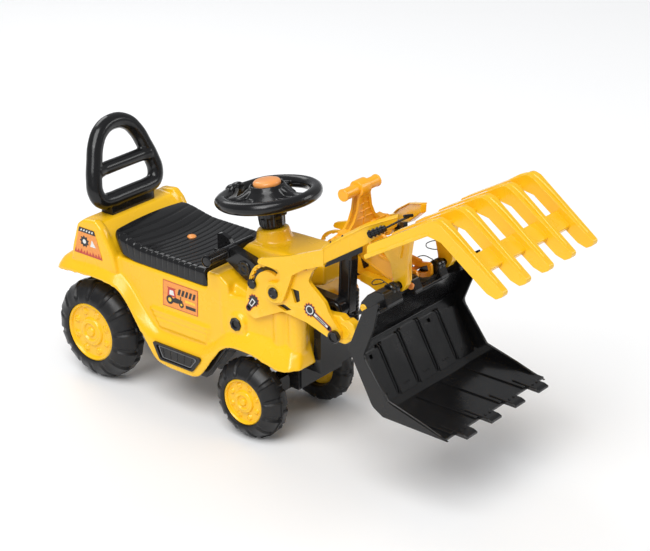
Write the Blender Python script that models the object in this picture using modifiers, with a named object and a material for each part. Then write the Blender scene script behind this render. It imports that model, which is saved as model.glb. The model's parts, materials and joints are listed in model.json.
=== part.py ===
"""Ride on digger: a child's push-along loader with a lever-worked boom, a rake and a bucket.

Frame: +X forward, +Y to the rider's left, +Z up, origin under the middle of the bounding box.
The model is laid out from the rear axle (x = 0) and then shifted by SHIFT_X.
"""

import bpy
import bmesh
from math import atan2, cos, pi, radians, sin
from mathutils import Matrix, Vector

# ---- driving dimensions (metres) -------------------------------------------------------------
GAP = 0.0004                 # between pieces that touch
WHEELBASE = 0.350
REAR_R, REAR_HUB_R = 0.0891, 0.0526
FRONT_R, FRONT_HUB_R = 0.0691, 0.0402
REAR_OUT, FRONT_OUT = 0.1095, 0.1105       # outer face of each wheel disc
REAR_TYRE_W, FRONT_TYRE_W = 0.052, 0.041
AXLE_R = 0.005

BOOM_PIVOT = (0.408, 0.277)                # x, z of the boom's axis
LEVER_PIVOT = (0.392, 0.277)               # x, z of the lift lever's axis
BUCKET_PIVOT = (0.628, 0.341)              # x, z of the bucket's hooks
DIPPER_PIVOT = (0.512, 0.362)              # x, z of the bucket lever's axis
COLUMN_TOP = (0.3225, 0.344)                # x, z where the steering column leaves its cone
COLUMN_TILT = radians(9)
STEER_X = WHEELBASE

FRAME_Y0, FRAME_Y1 = 0.0842, 0.0908        # side frame plate, inner and outer face
ARM_Y0, ARM_Y1 = 0.0915, 0.0985            # boom arm plate beside it
LEVER_Y0, LEVER_Y1 = -0.065, -0.047        # lift lever, right of the centre line
SLOT_R = 0.0335                            # arc slot about the lever's axis

BUCKET_HALF = 0.132
HOOK_Y = 0.058
TINE_STEP = 0.0593
TINE_W = 0.028

REAR_END, FRONT_END = -0.0891, 0.85584
SHIFT_X = -(REAR_END + FRONT_END) / 2

YELLOW = (0.90, 0.55, 0.02)
ORANGE_YELLOW = (0.95, 0.42, 0.015)
BLACK = (0.018, 0.018, 0.02)
ORANGE = (0.92, 0.35, 0.08)
STEEL = (0.55, 0.55, 0.57)

for old in list(bpy.data.objects):
    bpy.data.objects.remove(old, do_unlink=True)

PARTS = bpy.data.collections.new("ride_on_digger")
CUTTERS = bpy.data.collections.new("cutters")
for made in (PARTS, CUTTERS):
    bpy.context.scene.collection.children.link(made)


# ---- materials and bodies --------------------------------------------------------------------
def material(name, colour, rough, metallic=0.0):
    mat = bpy.data.materials.new(name)
    mat.use_nodes = True
    shader = mat.node_tree.nodes["Principled BSDF"]
    shader.inputs["Base Color"].default_value = (*colour, 1)
    shader.inputs["Roughness"].default_value = rough
    shader.inputs["Metallic"].default_value = metallic
    mat.diffuse_color = (*colour, 1)
    return mat


YELLOW_PLASTIC = material("yellow_plastic", YELLOW, 0.3)
LEVER_PLASTIC = material("lever_plastic", ORANGE_YELLOW, 0.35)
BLACK_PLASTIC = material("black_plastic", BLACK, 0.3)
TYRE_PLASTIC = material("tyre_plastic", BLACK, 0.5)
ORANGE_PLASTIC = material("orange_plastic", ORANGE, 0.35)
AXLE_STEEL = material("axle_steel", STEEL, 0.3, 1.0)


def body(name, location, parent=None):
    """An empty on a joint's axis; location is in the layout frame."""
    empty = bpy.data.objects.new(name, None)
    empty["layout"] = location
    empty.location = Vector(location) - (Vector(parent["layout"]) if parent else Vector((0, 0, 0)))
    empty.parent = parent
    PARTS.objects.link(empty)
    return empty


ORIGIN = body("layout_origin", (0, 0, 0))
ORIGIN.location = (SHIFT_X, 0, 0)
BOOM = body("boom_axis", (BOOM_PIVOT[0], 0, BOOM_PIVOT[1]), ORIGIN)
LEVER = body("lift_lever_axis", (LEVER_PIVOT[0], 0, LEVER_PIVOT[1]), ORIGIN)
DIPPER = body("bucket_lever_axis", (DIPPER_PIVOT[0], 0, DIPPER_PIVOT[1]), BOOM)
BUCKET = body("bucket_axis", (BUCKET_PIVOT[0], 0, BUCKET_PIVOT[1]), BOOM)
STEER = body("steering_axis", (COLUMN_TOP[0], 0, COLUMN_TOP[1]), ORIGIN)
CARRIER = body("front_axle_axis", (STEER_X, 0, FRONT_R), ORIGIN)


def add(obj, mat, owner, smooth=35):
    """Put a finished object, still in layout coordinates, under its body's empty."""
    obj.data.materials.clear()
    obj.data.materials.append(mat)
    obj.data.shade_smooth()
    obj.data.set_sharp_from_angle(angle=radians(smooth))
    obj.parent = owner
    obj.location = obj.location - Vector(owner["layout"])
    return obj


# ---- shape helpers ---------------------------------------------------------------------------
def from_bmesh(name, bm, coll=PARTS):
    mesh = bpy.data.meshes.new(name)
    bmesh.ops.recalc_face_normals(bm, faces=bm.faces)
    bm.to_mesh(mesh)
    bm.free()
    obj = bpy.data.objects.new(name, mesh)
    coll.objects.link(obj)
    return obj


def rounded(points, segments=3):
    """Outline whose corners (x, y, radius) become arcs; a corner without a radius stays sharp."""
    out = []
    for i, corner in enumerate(points):
        here = Vector(corner[:2])
        radius = corner[2] if len(corner) > 2 else 0
        if radius == 0:
            out.append(here)
            continue
        to_last = (Vector(points[i - 1][:2]) - here).normalized()
        to_next = (Vector(points[(i + 1) % len(points)][:2]) - here).normalized()
        half = to_last.angle(to_next) / 2
        reach = radius / max(0.05, sin(half) / cos(half))
        middle = here + (to_last + to_next).normalized() * (radius / sin(half))
        start = here + to_last * reach - middle
        turn = start.angle_signed(here + to_next * reach - middle)
        for k in range(segments + 1):
            angle = -turn * k / segments
            spun = Matrix.Rotation(angle, 2) @ start
            out.append(middle + spun)
    return out


def arc(centre, radius, start, end, steps):
    """Points on a circle, from one angle to another, in degrees."""
    turn = [radians(start + (end - start) * k / steps) for k in range(steps + 1)]
    return [(centre[0] + radius * cos(a), centre[1] + radius * sin(a)) for a in turn]


def circle(centre, radius, steps=16):
    return arc(centre, radius, 0, 360 * (steps - 1) / steps, steps - 1)


def plate(name, outlines, y0, y1, coll=PARTS):
    """Flat outlines in the x-z plane (the first outer, the rest holes), filled from y0 to y1."""
    curve = bpy.data.curves.new(name, "CURVE")
    curve.dimensions = "2D"
    curve.fill_mode = "BOTH"
    curve.extrude = abs(y1 - y0) / 2
    for outline in outlines:
        spline = curve.splines.new("POLY")
        spline.points.add(len(outline) - 1)
        for point, corner in zip(spline.points, outline):
            point.co = (corner[0], corner[1], 0, 1)
        spline.use_cyclic_u = True
    flat = bpy.data.objects.new(name, curve)
    flat.rotation_euler = (radians(90), 0, 0)
    flat.location = (0, (y0 + y1) / 2, 0)
    return meshed(name, flat, coll)


def meshed(name, curve_object, coll=PARTS):
    """The closed mesh of a curve object, in layout coordinates."""
    bpy.context.scene.collection.objects.link(curve_object)
    bpy.context.view_layer.update()
    ready = curve_object.evaluated_get(bpy.context.evaluated_depsgraph_get())
    mesh = bpy.data.meshes.new_from_object(ready)
    mesh.transform(curve_object.matrix_world)
    curve = curve_object.data
    bpy.data.objects.remove(curve_object)
    bpy.data.curves.remove(curve)
    bm = bmesh.new()
    bm.from_mesh(mesh)
    bmesh.ops.remove_doubles(bm, verts=bm.verts, dist=0.00002)
    bpy.data.meshes.remove(mesh)
    return from_bmesh(name, bm, coll)


def box(name, x, y, z, coll=PARTS):
    """A box between the pairs x, y and z."""
    bm = bmesh.new()
    bmesh.ops.create_cube(bm, size=1)
    size = Vector((x[1] - x[0], y[1] - y[0], z[1] - z[0]))
    middle = Vector((x[0] + x[1], y[0] + y[1], z[0] + z[1])) / 2
    bmesh.ops.scale(bm, verts=bm.verts, vec=size)
    bmesh.ops.translate(bm, verts=bm.verts, vec=middle)
    return from_bmesh(name, bm, coll)


def rod(name, start, end, r0, r1=None, steps=16, coll=PARTS):
    """A cylinder or cone between two points."""
    start, end = Vector(start), Vector(end)
    bm = bmesh.new()
    bmesh.ops.create_cone(bm, cap_ends=True, segments=steps, radius1=r0,
                          radius2=r0 if r1 is None else r1, depth=(end - start).length)
    turn = (end - start).to_track_quat("Z", "Y").to_matrix().to_4x4()
    bmesh.ops.transform(bm, matrix=Matrix.Translation((start + end) / 2) @ turn, verts=bm.verts)
    return from_bmesh(name, bm, coll)


def turned(name, profile, centre, axis, steps=32, coll=PARTS):
    """A closed or axis-ended profile of (radius, along) turned about an axis through centre."""
    mesh = bpy.data.meshes.new(name)
    mesh.from_pydata([(r, 0, h) for r, h in profile], [(i, i + 1) for i in range(len(profile) - 1)], [])
    obj = bpy.data.objects.new(name, mesh)
    coll.objects.link(obj)
    screw = obj.modifiers.new("turn", "SCREW")
    screw.steps = screw.render_steps = steps
    screw.use_merge_vertices = True
    screw.merge_threshold = 0.00002
    obj.rotation_euler = Vector(axis).to_track_quat("Z", "Y").to_euler()
    obj.location = centre
    return settled(obj)


def settled(obj):
    """Apply an object's modifiers and transform, so it lies in layout coordinates."""
    bpy.context.view_layer.update()
    ready = obj.evaluated_get(bpy.context.evaluated_depsgraph_get())
    mesh = bpy.data.meshes.new_from_object(ready)
    mesh.transform(obj.matrix_world)
    bm = bmesh.new()
    bm.from_mesh(mesh)
    bmesh.ops.remove_doubles(bm, verts=bm.verts, dist=0.00001)
    bmesh.ops.recalc_face_normals(bm, faces=bm.faces)
    bm.to_mesh(mesh)
    bm.free()
    obj.modifiers.clear()
    obj.data = mesh
    obj.location = (0, 0, 0)
    obj.rotation_euler = (0, 0, 0)
    return obj


def boolean(obj, others, operation):
    """Join or cut obj with the others and remove them."""
    for other in others:
        change = obj.modifiers.new(operation.lower(), "BOOLEAN")
        change.operation = operation
        change.solver = "EXACT"
        change.object = other
        settled(obj)
        bpy.data.objects.remove(other, do_unlink=True)
    return obj


def join(obj, *others):
    return boolean(obj, others, "UNION")


def cut(obj, *others):
    return boolean(obj, others, "DIFFERENCE")


def hole_y(centre, radius, y0, y1, steps=16):
    return rod("cutter", (centre[0], y0, centre[1]), (centre[0], y1, centre[1]), radius, steps=steps, coll=CUTTERS)


def sides():
    """Right side first (negative y), then left."""
    return (("right", -1), ("left", 1))


# ---- wheels ----------------------------------------------------------------------------------
def wheel(name, side, x, radius, hub_r, out, width, owner):
    """A hollow-moulded tyre with a pressed-in disc that turns on the axle."""
    y_out = side * out
    spin = body(name + "_spin", (x, 0, radius), owner)
    depth = width
    bulge = radius - hub_r
    tyre_profile = [(hub_r + GAP, 0.0015), (hub_r + GAP, -depth + 0.004), (hub_r + 0.30 * bulge, -depth),
                    (hub_r + 0.72 * bulge, -depth + 0.002), (radius, -0.78 * depth), (radius, -0.42 * depth),
                    (hub_r + 0.80 * bulge, -0.14 * depth), (hub_r + 0.45 * bulge, -0.01 * depth),
                    (hub_r + 0.18 * bulge, 0.0028), (hub_r + GAP, 0.0015)]
    tyre = turned(f"{name}_tyre", tyre_profile, (x, y_out, radius), (0, side, 0), 32)
    add(tyre, TYRE_PLASTIC, spin)
    boss = 0.36 * hub_r
    disc_profile = [(0, 0), (boss, 0), (boss * 1.1, -0.004), (0.86 * hub_r, -0.004), (0.92 * hub_r, 0), (hub_r, 0),
                    (hub_r, -0.72 * depth), (0.4 * hub_r, -0.72 * depth), (0.4 * hub_r, -depth),
                    (AXLE_R + GAP, -depth), (AXLE_R + GAP, -0.008), (0, -0.008)]
    disc = turned(f"{name}_disc", disc_profile, (x, y_out, radius), (0, side, 0), 32)
    add(disc, YELLOW_PLASTIC, spin)


for word, side in sides():
    wheel(f"rear_wheel_{word}", side, 0, REAR_R, REAR_HUB_R, REAR_OUT, REAR_TYRE_W, ORIGIN)
    wheel(f"front_wheel_{word}", side, WHEELBASE, FRONT_R, FRONT_HUB_R, FRONT_OUT, FRONT_TYRE_W, CARRIER)

add(rod("rear_axle", (0, -REAR_OUT + 0.009, REAR_R), (0, REAR_OUT - 0.009, REAR_R), AXLE_R, steps=12),
    AXLE_STEEL, ORIGIN)
add(rod("front_axle", (WHEELBASE, -FRONT_OUT + 0.009, FRONT_R), (WHEELBASE, FRONT_OUT - 0.009, FRONT_R), AXLE_R,
        steps=12), AXLE_STEEL, CARRIER)


# ---- body shell ------------------------------------------------------------------------------
SHELL = 0.0035
SEAT_Z = 0.2425
SKIRT_HALF = 0.112
WAIST_HALF = 0.0935
COLUMN_OUT, COLUMN_IN = 0.0834, 0.0455
HOOD_HALF = 0.0440


def skirt_outline(inset=0.0):
    """Side view of the lower body from the fender's tip to the front of the footrest."""
    top = SEAT_Z - inset
    low = 0.06 if inset else 0
    outer = [(-0.083 + inset, 0.186 - low), (-0.071 + inset, 0.205 - inset), (-0.050 + inset, 0.227 - inset),
             (0.060, top), (0.300 - inset, top)]
    if inset:
        return outer + [(0.300 - inset, 0.05), (-0.083 + inset, 0.05)]
    return outer + [(0.300, 0.150), (0.258, 0.084), (0.246, 0.077, 0.005), (0.164, 0.079), (0.146, 0.097),
                    (0.103, 0.160), (0.078, 0.192, 0.014), (0.014, 0.199), (-0.072, 0.190)]


def body_shell():
    shell = plate("body_shell", [rounded(skirt_outline())], -SKIRT_HALF, SKIRT_HALF)
    hump = plate("hump", [rounded([(-0.048, 0.215), (-0.040, 0.275, 0.01), (-0.016, 0.297, 0.01),
                                   (0.030, 0.297, 0.01), (0.058, 0.236)])], -0.1035, 0.1035)
    rear = box("rear_tower", (0.260, 0.300), (-WAIST_HALF, WAIST_HALF), (0.1525, 0.272))
    join(shell, hump, rear)
    for side in (-1, 1):
        y0, y1 = sorted((side * (COLUMN_IN - 0.002), side * COLUMN_OUT))
        join(shell, plate("column", [rounded([(0.292, 0.154), (0.292, 0.262), (0.330, 0.252), (0.345, 0.246),
                                              (0.437, 0.241), (0.441, 0.154)])], y0, y1))
        y0, y1 = sorted((side * (COLUMN_IN - 0.0004), side * 0.104))
        join(shell, plate("flange", [rounded([(0.289, 0.196), (0.410, 0.190), (0.449, 0.176), (0.453, 0.152),
                                              (0.418, 0.144), (0.392, 0.151), (0.350, 0.159), (0.289, 0.1535)])],
                          y0, y1))
    hood = plate("hood", [rounded([(0.285, 0.150), (0.285, 0.290, 0.01), (0.308, 0.316, 0.008), (0.466, 0.322, 0.004),
                                   (0.468, 0.284), (0.437, 0.277), (0.430, 0.150)])], -HOOD_HALF, HOOD_HALF)
    join(shell, hood)
    lean = Vector((-sin(COLUMN_TILT), 0, cos(COLUMN_TILT)))
    top = Vector((COLUMN_TOP[0], 0, COLUMN_TOP[1]))
    join(shell, rod("cone", top - lean * 0.045, top - lean * GAP, 0.0325, 0.0248, 24))
    inner = plate("inner", [skirt_outline(SHELL)], -SKIRT_HALF + SHELL, SKIRT_HALF - SHELL, CUTTERS)
    seat_hump = plate("inner", [[(-0.043, 0.205), (-0.035, 0.273), (-0.013, 0.2925), (0.027, 0.2925),
                                 (0.052, 0.238), (0.052, 0.205)]], -0.0995, 0.0995, CUTTERS)
    tower = box("inner", (0.290, 0.433), (-HOOD_HALF + SHELL, HOOD_HALF - SHELL), (0.05, 0.312), CUTTERS)
    nose = box("inner", (0.425, 0.464), (-HOOD_HALF + SHELL, HOOD_HALF - SHELL), (0.270, 0.312), CUTTERS)
    cut(shell, inner, seat_hump, tower, nose)
    for side in (-1, 1):
        y0, y1 = sorted((side * (COLUMN_IN + SHELL), side * (COLUMN_OUT - SHELL)))
        hollow = [(0.280, 0.05), (0.434, 0.05), (0.434, 0.2185), (0.345, 0.2385), (0.280, 0.2425)]
        cut(shell, plate("inner", [hollow], y0, y1, CUTTERS))
    cut(shell, rod("bore", top - lean * 0.07, top + lean * 0.02, 0.010, steps=12, coll=CUTTERS))
    return shell


shell = body_shell()
add(shell, YELLOW_PLASTIC, ORIGIN)


# ---- chassis, backrest, seat, footrest pads ---------------------------------------------------
def chassis():
    """Underbody inside the shell: a tray between the wheels, two axle hangers and a front beam."""
    base = plate("chassis", [rounded([(-0.048, 0.120), (-0.030, 0.165, 0.01), (0.050, 0.165, 0.01), (0.105, 0.120),
                                      (0.150, 0.076), (0.250, 0.074), (0.290, 0.126), (0.392, 0.126), (0.405, 0.096),
                                      (0.426, 0.096), (0.426, 0.142), (0.280, 0.142), (0.246, 0.086), (0.160, 0.088),
                                      (0.110, 0.135), (0.060, 0.178, 0.01), (-0.032, 0.178, 0.01)])],
                 -0.052, 0.052)
    for side in (-1, 1):
        y0, y1 = sorted((side * 0.040, side * 0.0515))
        join(base, plate("hanger", [rounded([(-0.030, 0.170), (-0.016, 0.074, 0.01), (0.016, 0.074, 0.01),
                                             (0.030, 0.170)])], y0, y1))
    join(base, box("front_beam", (0.404, 0.4235), (-0.056, 0.056), (0.0935, 0.1405)))
    nose = [(0.419, 0.129), (0.4585, 0.129), (0.4585, 0.236), (0.4445, 0.236), (0.4445, 0.139), (0.419, 0.139)]
    join(base, plate("nose", [nose], -0.0425, 0.0425))
    return cut(base, hole_y((0, REAR_R), AXLE_R + GAP, -0.2, 0.2, 12),
               rod("kingpin", (STEER_X, 0, 0.05), (STEER_X, 0, 0.30), 0.0085, steps=12, coll=CUTTERS))


add(chassis(), BLACK_PLASTIC, ORIGIN)


def backrest_x(z):
    """The backrest leans back as it rises."""
    return -0.002 - (z - 0.310) * 0.26


def backrest():
    """A loop of thick moulded tube with a cross bar, standing on a foot plugged into the shell."""
    tube = 0.0130
    ring = bpy.data.curves.new("backrest", "CURVE")
    ring.dimensions = "3D"
    ring.bevel_depth = tube
    ring.bevel_resolution = 2
    ring.resolution_u = 3
    spline = ring.splines.new("BEZIER")
    half = [(0.0665, 0.3200), (0.0700, 0.3400), (0.0560, 0.3880), (0.0330, 0.4250)]
    outline = [(0.0, 0.3135)] + half + [(0.0, 0.4355)] + [(-y, z) for y, z in reversed(half)]
    spline.bezier_points.add(len(outline) - 1)
    for point, (y, z) in zip(spline.bezier_points, outline):
        point.co = (backrest_x(z), y, z)
        point.handle_left_type = point.handle_right_type = "AUTO"
    spline.use_cyclic_u = True
    loop = meshed("backrest", bpy.data.objects.new("backrest", ring))
    bar_x, bar_z = backrest_x(0.366), 0.366
    bar = rod("bar", (bar_x, -0.060, bar_z), (bar_x, 0.060, bar_z), 0.0105, steps=12)
    foot_x = backrest_x(0.310)
    foot = box("foot", (foot_x - 0.011, foot_x + 0.011), (-0.052, 0.052), (0.2975, 0.318))
    return join(loop, bar, foot)


add(backrest(), BLACK_PLASTIC, ORIGIN)

SEAT = [rounded([(0.0605, SEAT_Z + GAP), (0.2585, SEAT_Z + GAP), (0.2585, 0.2735, 0.006), (0.116, 0.2735, 0.02),
                 (0.078, 0.2850, 0.012), (0.0480, 0.2900, 0.006), (0.0400, 0.2860, 0.004)])]
seat = plate("seat", SEAT, -0.0925, 0.0925)
join(seat, plate("pommel", [rounded([(0.212, 0.268), (0.212, 0.296), (0.222, 0.300, 0.004), (0.240, 0.292, 0.01),
                                     (0.244, 0.268)])], -0.012, 0.004))
cut(seat, rod("socket", (0.143, 0, 0.2700), (0.143, 0, 0.2900), 0.0075, steps=16, coll=CUTTERS))
add(seat, BLACK_PLASTIC, ORIGIN)
add(rod("seat_badge", (0.143, 0, 0.2704), (0.143, 0, 0.2760), 0.0071, steps=16), ORANGE_PLASTIC, ORIGIN)

for word, side in sides():
    y0, y1 = sorted((side * (SKIRT_HALF + GAP), side * (SKIRT_HALF + 0.0022)))
    add(plate(f"footrest_pad_{word}", [rounded([(0.152, 0.121, 0.003), (0.264, 0.121, 0.003), (0.243, 0.091, 0.006),
                                                (0.168, 0.091, 0.006)])], y0, y1), BLACK_PLASTIC, ORIGIN)


# ---- side frames and what they hold ------------------------------------------------------------
FRAME_CAP = (0.527, 0.235)


def side_frame(word, side):
    """X-shaped plate beside the tower: hub above, one leg forward to a cap, one back to the shell."""
    outline = rounded([(0.338, 0.262, 0.02), (0.341, 0.222, 0.01), (0.362, 0.216, 0.008), (0.420, 0.246, 0.02),
                       (0.470, 0.241, 0.02), (0.520, 0.226, 0.006), (0.536, 0.226, 0.008), (0.536, 0.244, 0.008),
                       (0.514, 0.270, 0.01), (0.506, 0.286, 0.01), (0.472, 0.312, 0.008), (0.480, 0.330, 0.01),
                       (0.493, 0.346, 0.004), (0.487, 0.356, 0.004), (0.395, 0.322, 0.03), (0.352, 0.312, 0.035)])
    pivot, slot_half = LEVER_PIVOT, 0.0044
    slot = (arc(pivot, SLOT_R + slot_half, 60, 180, 10) + arc((pivot[0] - SLOT_R, pivot[1]), slot_half, 210, 330, 3)
            + arc(pivot, SLOT_R - slot_half, 180, 60, 10))
    triangle = [(0.438, 0.290), (0.446, 0.268), (0.455, 0.274), (0.453, 0.290)]
    y0, y1 = sorted((side * FRAME_Y0, side * FRAME_Y1))
    frame = plate(f"side_frame_{word}", [outline, slot, triangle], y0, y1)
    return cut(frame, hole_y(BOOM_PIVOT, 0.0062, -0.2, 0.2), hole_y(FRAME_CAP, 0.0054, -0.2, 0.2, 12))


for word, side in sides():
    add(side_frame(word, side), YELLOW_PLASTIC, ORIGIN)
    y0, y1 = sorted((side * 0.0670, side * (FRAME_Y0 - GAP)))
    bracket = plate(f"front_bracket_{word}", [rounded([(0.450, 0.252, 0.003), (0.470, 0.2480), (0.514, 0.2310),
                                                       (0.526, 0.2220), (0.540, 0.2215, 0.012), (0.560, 0.2380, 0.014),
                                                       (0.560, 0.2580, 0.012), (0.545, 0.2650, 0.006),
                                                       (0.538, 0.2616, 0.004), (0.530, 0.2675, 0.005),
                                                       (0.506, 0.2640, 0.004), (0.450, 0.266, 0.003)])], y0, y1)
    cut(bracket, hole_y(FRAME_CAP, 0.0054, -0.2, 0.2, 12))
    add(bracket, YELLOW_PLASTIC, ORIGIN)
    ends = [(FRAME_CAP[0], side * y, FRAME_CAP[1]) for y in (0.0495, 0.0915, 0.0990)]
    pin = rod(f"frame_pin_{word}", ends[0], ends[1], 0.005, steps=12)
    add(join(pin, rod("head", (ends[1][0], side * (FRAME_Y1 + GAP), ends[1][2]), ends[2], 0.0095, steps=16)),
        BLACK_PLASTIC, ORIGIN)


for word, side in sides():
    ends = [(BOOM_PIVOT[0], side * y, BOOM_PIVOT[1]) for y in (0.0700, 0.1010)]
    add(rod(f"boom_pin_{word}", ends[0], ends[1], 0.0058), BLACK_PLASTIC, ORIGIN)

add(rod("lift_lever_pin", (LEVER_PIVOT[0], -0.0838, LEVER_PIVOT[1]), (LEVER_PIVOT[0], -0.0444, LEVER_PIVOT[1]), 0.005,
        steps=12), BLACK_PLASTIC, ORIGIN)


# ---- lift lever --------------------------------------------------------------------------------
GRIP = (0.279, 0.300)
LEVER_END = (0.504, 0.265)


def lift_lever():
    """Black T-bar lever: crossbar behind, stem over the tower, round end under the boom."""
    stem = plate("lift_lever", [rounded([(0.270, 0.301, 0.006), (0.286, 0.310, 0.006), (0.330, 0.300, 0.012),
                                         (0.345, 0.292, 0.01), (0.440, 0.284), (0.500, 0.281, 0.012),
                                         (0.519, 0.281, 0.014), (0.519, 0.249, 0.014), (0.494, 0.249, 0.014),
                                         (0.440, 0.262), (0.345, 0.262), (0.320, 0.263, 0.006),
                                         (0.270, 0.291, 0.004)])], LEVER_Y0, LEVER_Y1)
    bar = rod("bar", (GRIP[0], -0.113, GRIP[1]), (GRIP[0], 0.001, GRIP[1]), 0.0095)
    join(stem, bar)
    return cut(stem, hole_y(LEVER_PIVOT, 0.0054, -0.2, 0.2, 12), hole_y(LEVER_END, 0.004, -0.2, 0.2, 12))


add(lift_lever(), BLACK_PLASTIC, LEVER)
KNOB = (LEVER_PIVOT[0] - SLOT_R, LEVER_PIVOT[1])
knob = rod("lever_knob", (KNOB[0], LEVER_Y0 - GAP, KNOB[1]), (KNOB[0], -0.0915, KNOB[1]), 0.0036, steps=12)
join(knob, rod("cap", (KNOB[0], -0.0914, KNOB[1]), (KNOB[0], -0.0960, KNOB[1]), 0.0078, steps=16))
add(knob, BLACK_PLASTIC, LEVER)


# ---- boom --------------------------------------------------------------------------------------
BEND = (0.508, 0.0985)                     # x, y of the arm's outer face where it turns inward
ARM_TIP = (0.604, 0.037)


def turned_in(obj, side):
    """Move a piece laid out along the arm's front length (x from the bend) into its place."""
    angle = atan2(ARM_TIP[1] - BEND[1], ARM_TIP[0] - BEND[0])
    obj.data.transform(Matrix.Translation((BEND[0], BEND[1], 0)) @ Matrix.Rotation(angle, 4, "Z"))
    if side < 0:
        obj.data.transform(Matrix.Diagonal((1, -1, 1, 1)))
        obj.data.flip_normals()
    return obj


def boom_arm(word, side):
    y0, y1 = sorted((side * ARM_Y0, side * ARM_Y1))
    rear = rounded([(0.390, 0.259, 0.014), (0.424, 0.258, 0.014), (0.436, 0.290, 0.012), (0.446, 0.318, 0.010),
                    (0.470, 0.334), (0.5095, 0.352), (0.5095, 0.3785), (0.505, 0.377), (0.440, 0.349),
                    (0.378, 0.328, 0.006), (0.374, 0.319, 0.003), (0.420, 0.319, 0.006), (0.4225, 0.303, 0.006),
                    (0.414, 0.295, 0.006), (0.390, 0.293, 0.012)])
    arm = plate(f"boom_arm_{word}", [rear], y0, y1)
    front = [(-0.002, 0.351), (0.010, 0.359), (0.066, 0.387), (0.1115, 0.4045), (0.114, 0.437), (0.066, 0.420),
             (0.015, 0.390), (-0.002, 0.378)]
    join(arm, turned_in(plate("front", [front], -0.010, -0.0002), side))
    return cut(arm, hole_y(BOOM_PIVOT, 0.0062, -0.2, 0.2))


for word, side in sides():
    add(boom_arm(word, side), YELLOW_PLASTIC, BOOM)
    under = [(0.002, 0.344), (0.060, 0.372), (0.060, 0.386), (0.002, 0.368)]
    beam = turned_in(plate(f"boom_beam_{word}", [under], -0.018, -0.0104), side)
    add(cut(beam, hole_y(DIPPER_PIVOT, 0.0044, -0.2, 0.2, 12)), BLACK_PLASTIC, BOOM)

dipper_rod = rod("bucket_lever_rod", (DIPPER_PIVOT[0], -0.079, DIPPER_PIVOT[1]),
                 (DIPPER_PIVOT[0], 0.079, DIPPER_PIVOT[1]), 0.004, steps=12)
add(dipper_rod, BLACK_PLASTIC, BOOM)

post = plate("lift_post", [rounded([(0.496, 0.252, 0.006), (0.519, 0.252, 0.006), (0.523, 0.345),
                                    (0.521, 0.371, 0.009), (0.503, 0.371, 0.009), (0.499, 0.345)])], -0.0462, -0.030)
cut(post, hole_y(DIPPER_PIVOT, 0.0044, -0.2, 0.2, 12))
add(post, BLACK_PLASTIC, BOOM)



def rake():
    """Five ribs that bend down into tines, on one sloping plate with two hooked legs."""
    rib = rounded([(0.617, 0.4255, 0.006), (0.735, 0.4955, 0.012), (0.748, 0.4915, 0.006), (0.8565, 0.4150, 0.004),
                   (0.8545, 0.4080, 0.004), (0.8455, 0.4030, 0.004), (0.8300, 0.4080), (0.7500, 0.4650),
                   (0.7250, 0.4690, 0.012), (0.617, 0.4045, 0.003)])
    base = [(0.6140, 0.4022), (0.7300, 0.4710), (0.7270, 0.4763), (0.6110, 0.4077)]
    whole = plate("rake", [base], -0.131, 0.131)
    root = [(0.590, 0.3880), (0.6200, 0.4058), (0.6170, 0.4111), (0.587, 0.3935)]
    join(whole, plate("root", [root], -0.070, 0.070))
    for i in range(5):
        y = (i - 2) * TINE_STEP
        join(whole, plate("tine", [rib], y - TINE_W / 2, y + TINE_W / 2))
    web = [(0.784, 0.440), (0.790, 0.449), (0.815, 0.431), (0.809, 0.422)]
    join(whole, plate("web", [web], -2 * TINE_STEP, 2 * TINE_STEP))
    for side in (-1, 1):
        y0, y1 = sorted((side * (HOOK_Y - 0.008), side * (HOOK_Y + 0.008)))
        leg = rounded([(0.598, 0.3925), (0.640, 0.4185), (0.641, 0.375), (0.643, 0.345, 0.012), (0.634, 0.327, 0.008),
                       (0.616, 0.327, 0.010), (0.613, 0.350, 0.01)])
        join(whole, plate("leg", [leg], y0, y1))
        cut(whole, hole_y(BUCKET_PIVOT, 0.0056, y0 - 0.002, y1 + 0.002, 12))
    return whole


add(rake(), YELLOW_PLASTIC, BOOM)
lock = rod("rake_lock_pin", (0.5700, -0.0665, 0.4085), (0.5930, -0.0520, 0.4215), 0.0045, steps=12)
join(lock, rod("strap", (0.5920, -0.0526, 0.4209), (0.6200, -0.0300, 0.4400), 0.0014, steps=8))
add(lock, BLACK_PLASTIC, BOOM)


# ---- bucket lever ------------------------------------------------------------------------------
DIPPER_END = (0.598, 0.333)


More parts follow.
